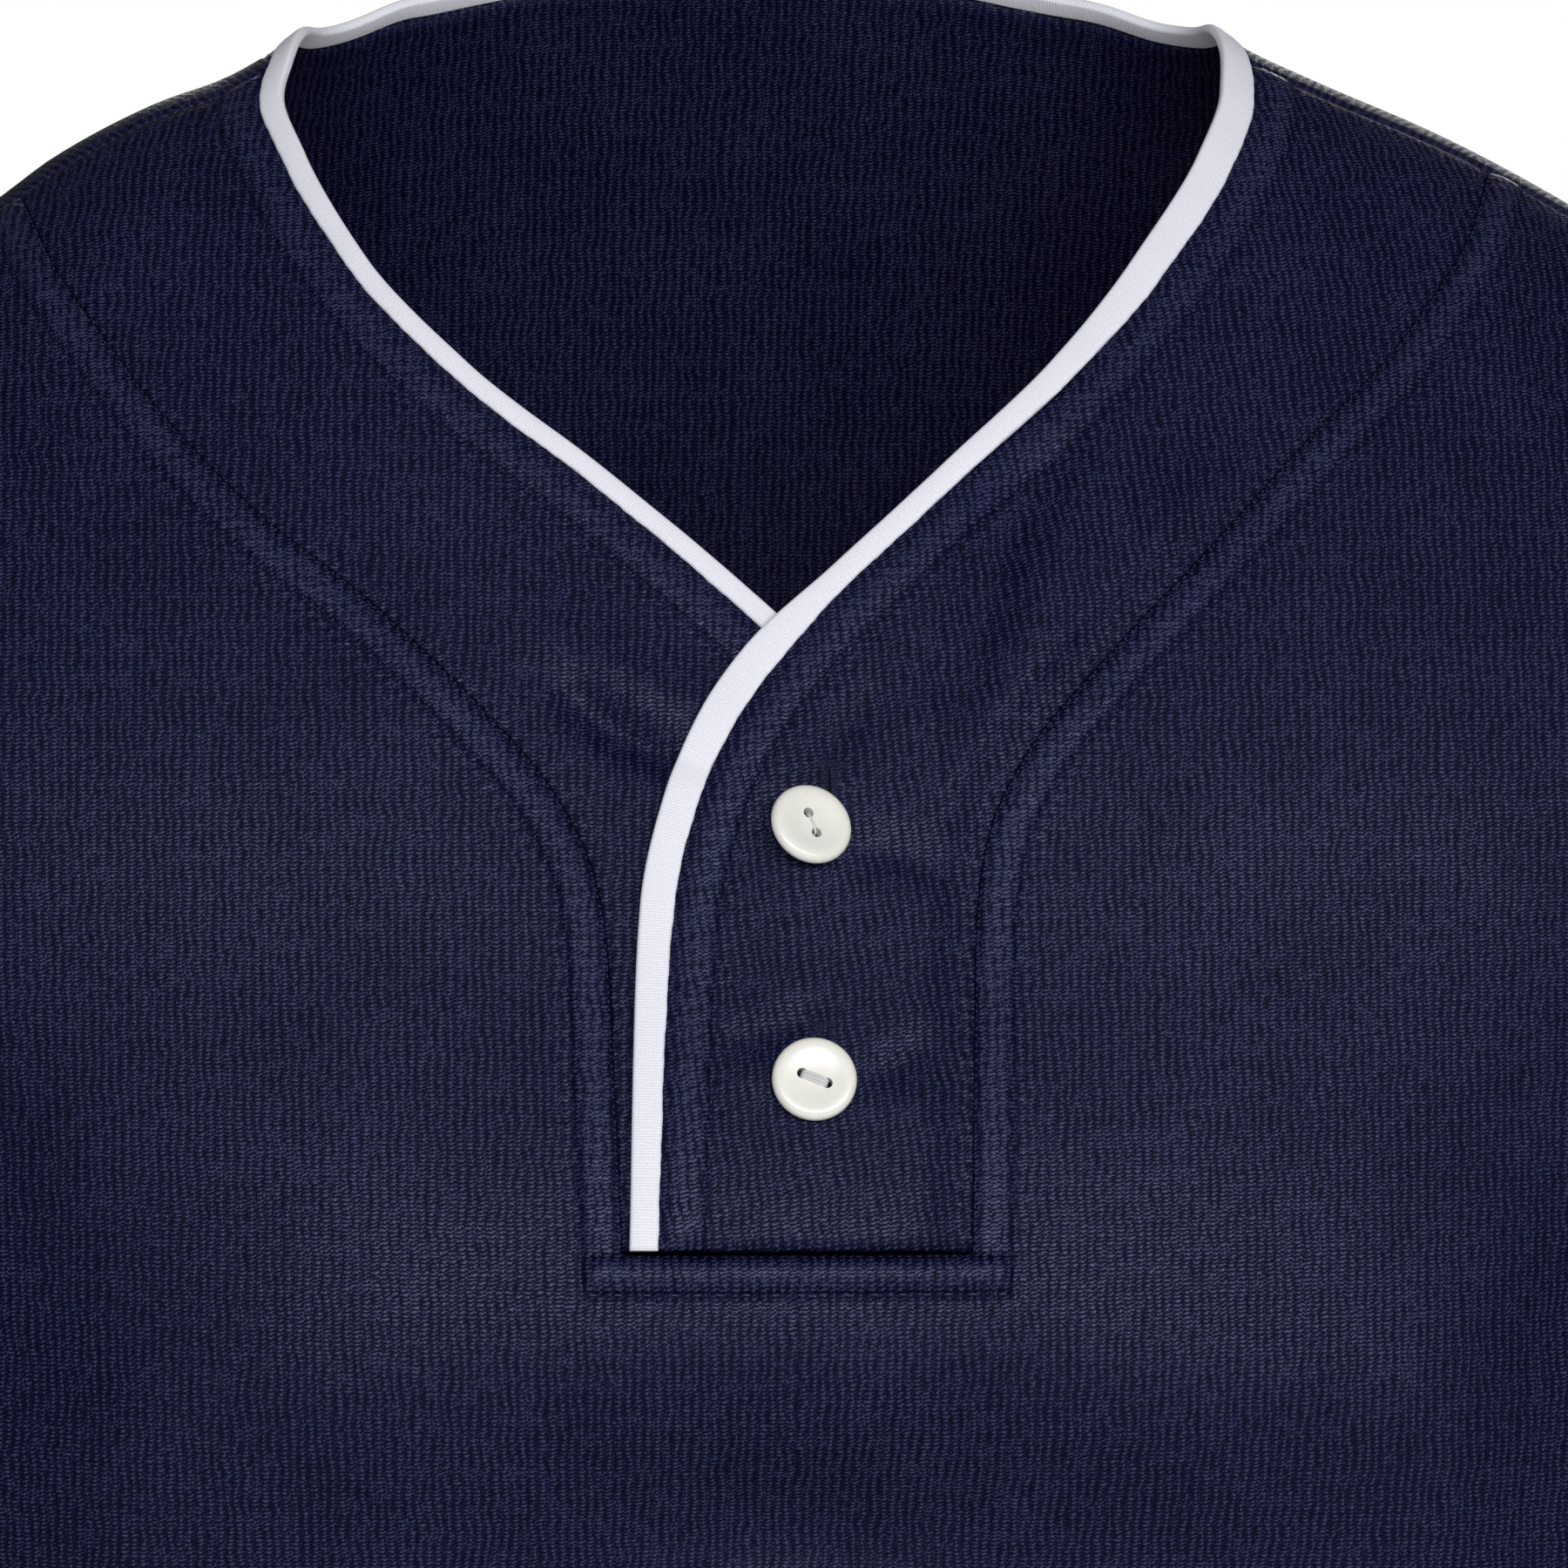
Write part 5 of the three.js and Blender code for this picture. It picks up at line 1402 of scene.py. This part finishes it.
front_turn, front_rise, _, _ = front_grid()
back_turn, back_rise = back_grid()
sewing = seam_stitches() + hem_stitches((front_turn[ROWS + 1 :], front_rise[ROWS + 1 :]), -1)
sewing += hem_stitches((back_turn, back_rise), 1)
sewing += cuff_stitches(*left_form) + cuff_stitches(*right_form)
# Painted highlight: every so many stitches, and all the placket-foot stitches, get the lighter
# thread for the glints on them.
glinting = [shortened(place, 0.45) for place in sewing[FIRST_GLINT::GLINT_EVERY]]
glinting += [shortened(place, 0.6) for place in foot_stitches()]
beads = stitches("seam_beads", seam_beads(), 0.4, 0.2, BEAD_THREAD)
topstitching = stitches("topstitching", sewing, 0.42, 0.16, NAVY_THREAD)
glint_stitches = stitches("glint_stitches", glinting, 0.3, 0.22, GLINT_THREAD)
holes = [place for row in BUTTONHOLES for place in buttonhole(*row)]
buttonholes = stitches("buttonholes", holes, 0.4, 0.12, NAVY_THREAD)
# Painted shade: a near-black strip laid in each buttonhole slit, where the cut shows only shadow.
cuts = [flat_stitch(np.array((x, z - SLIT_HALF_LENGTH)),
                    np.array((x + SLIT_LEAN, z + SLIT_HALF_LENGTH))) for x, z, _ in BUTTONHOLES]
slit_shade_strips = stitches("buttonhole_slit_shade", cuts, 0.9, 0.14, SHADE)

blank = button_blank()
made_buttons = [make_button(row, blank) for row in BUTTONS]
threads = [button_thread(row) for row in BUTTONS]
bpy.data.objects.remove(blank, do_unlink=True)

for piece, node in ((front, "front_body"), (back, "back_body"), (left_sleeve, "sleeve_left"),
                    (right_sleeve, "sleeve_right"), (left_band, "neck_band_left"),
                    (right_band, "neck_band_right"), (binding, "neck_binding"),
                    (made_buttons[0], "button_upper"), (made_buttons[1], "button_lower")):
    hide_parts(node)
for piece in (front, back, left_sleeve, right_sleeve, left_band, right_band, topstitching,
              glint_stitches, beads, buttonholes, slit_shade_strips):
    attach(piece, "root")
for piece in (binding, *threads):
    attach(piece, "root")
for piece in made_buttons:
    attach(piece, "root")

# ---------------------------------------------------------------- studio

CAMERA_TARGET = Vector((5.55, 0, -131)) * MM
CAMERA_TURN, CAMERA_DISTANCE = math.radians(-4), 2.09
LIGHT_TARGET = Vector((0, 0, -0.2))


def aimed(name, data, place, target):
    """A camera or lamp at a place, turned to its target."""
    thing = bpy.data.objects.new(name, data)
    thing.location = place
    thing.rotation_mode = "QUATERNION"
    thing.rotation_quaternion = (target - thing.location).to_track_quat("-Z", "Y")
    scene.collection.objects.link(thing)
    return thing


def soft_light(name, place, size, power):
    light = bpy.data.lights.new(name, "AREA")
    light.shape, light.size, light.size_y, light.energy = "RECTANGLE", *size, power
    aimed(name, light, place, LIGHT_TARGET)


scene = bpy.context.scene
scene.view_settings.view_transform = "Standard"
camera_data = bpy.data.cameras.new("camera")
camera_data.lens, camera_data.sensor_width = 256, 36
camera_data.clip_start, camera_data.clip_end = 0.1, 60
camera_way = Vector((math.sin(CAMERA_TURN), -math.cos(CAMERA_TURN), 0))
scene.camera = aimed("camera", camera_data, CAMERA_TARGET + camera_way * CAMERA_DISTANCE,
                     CAMERA_TARGET)

bpy.ops.object.select_all(action="DESELECT")
bpy.ops.mesh.primitive_plane_add(size=24, location=(0, 0, -1.38))
floor = bpy.context.active_object
floor.name = "floor"
floor.data.transform(Matrix.Translation(floor.location))
floor.location = (0, 0, 0)
floor.data.materials.append(floor_finish())

world = bpy.data.worlds.new("studio")
scene.world = world
world.use_nodes = True
sky = world.node_tree
background, seen = sky.nodes["Background"], sky.nodes.new("ShaderNodeBackground")
for shader, strength in ((background, 0.09), (seen, 1.0)):
    shader.inputs["Color"].default_value = (1, 1, 1, 1)
    shader.inputs["Strength"].default_value = strength
path = sky.nodes.new("ShaderNodeLightPath")
blend = sky.nodes.new("ShaderNodeMixShader")
sky.links.new(path.outputs["Is Camera Ray"], blend.inputs[0])
sky.links.new(background.outputs[0], blend.inputs[1])
sky.links.new(seen.outputs[0], blend.inputs[2])
sky.links.new(blend.outputs[0], sky.nodes["World Output"].inputs["Surface"])

soft_light("key", (0.3, -2.6, 0.42), (3.3, 0.5), 78)
soft_light("back_light", (0.4, 2.6, 1.2), (1.6, 1.2), 18)
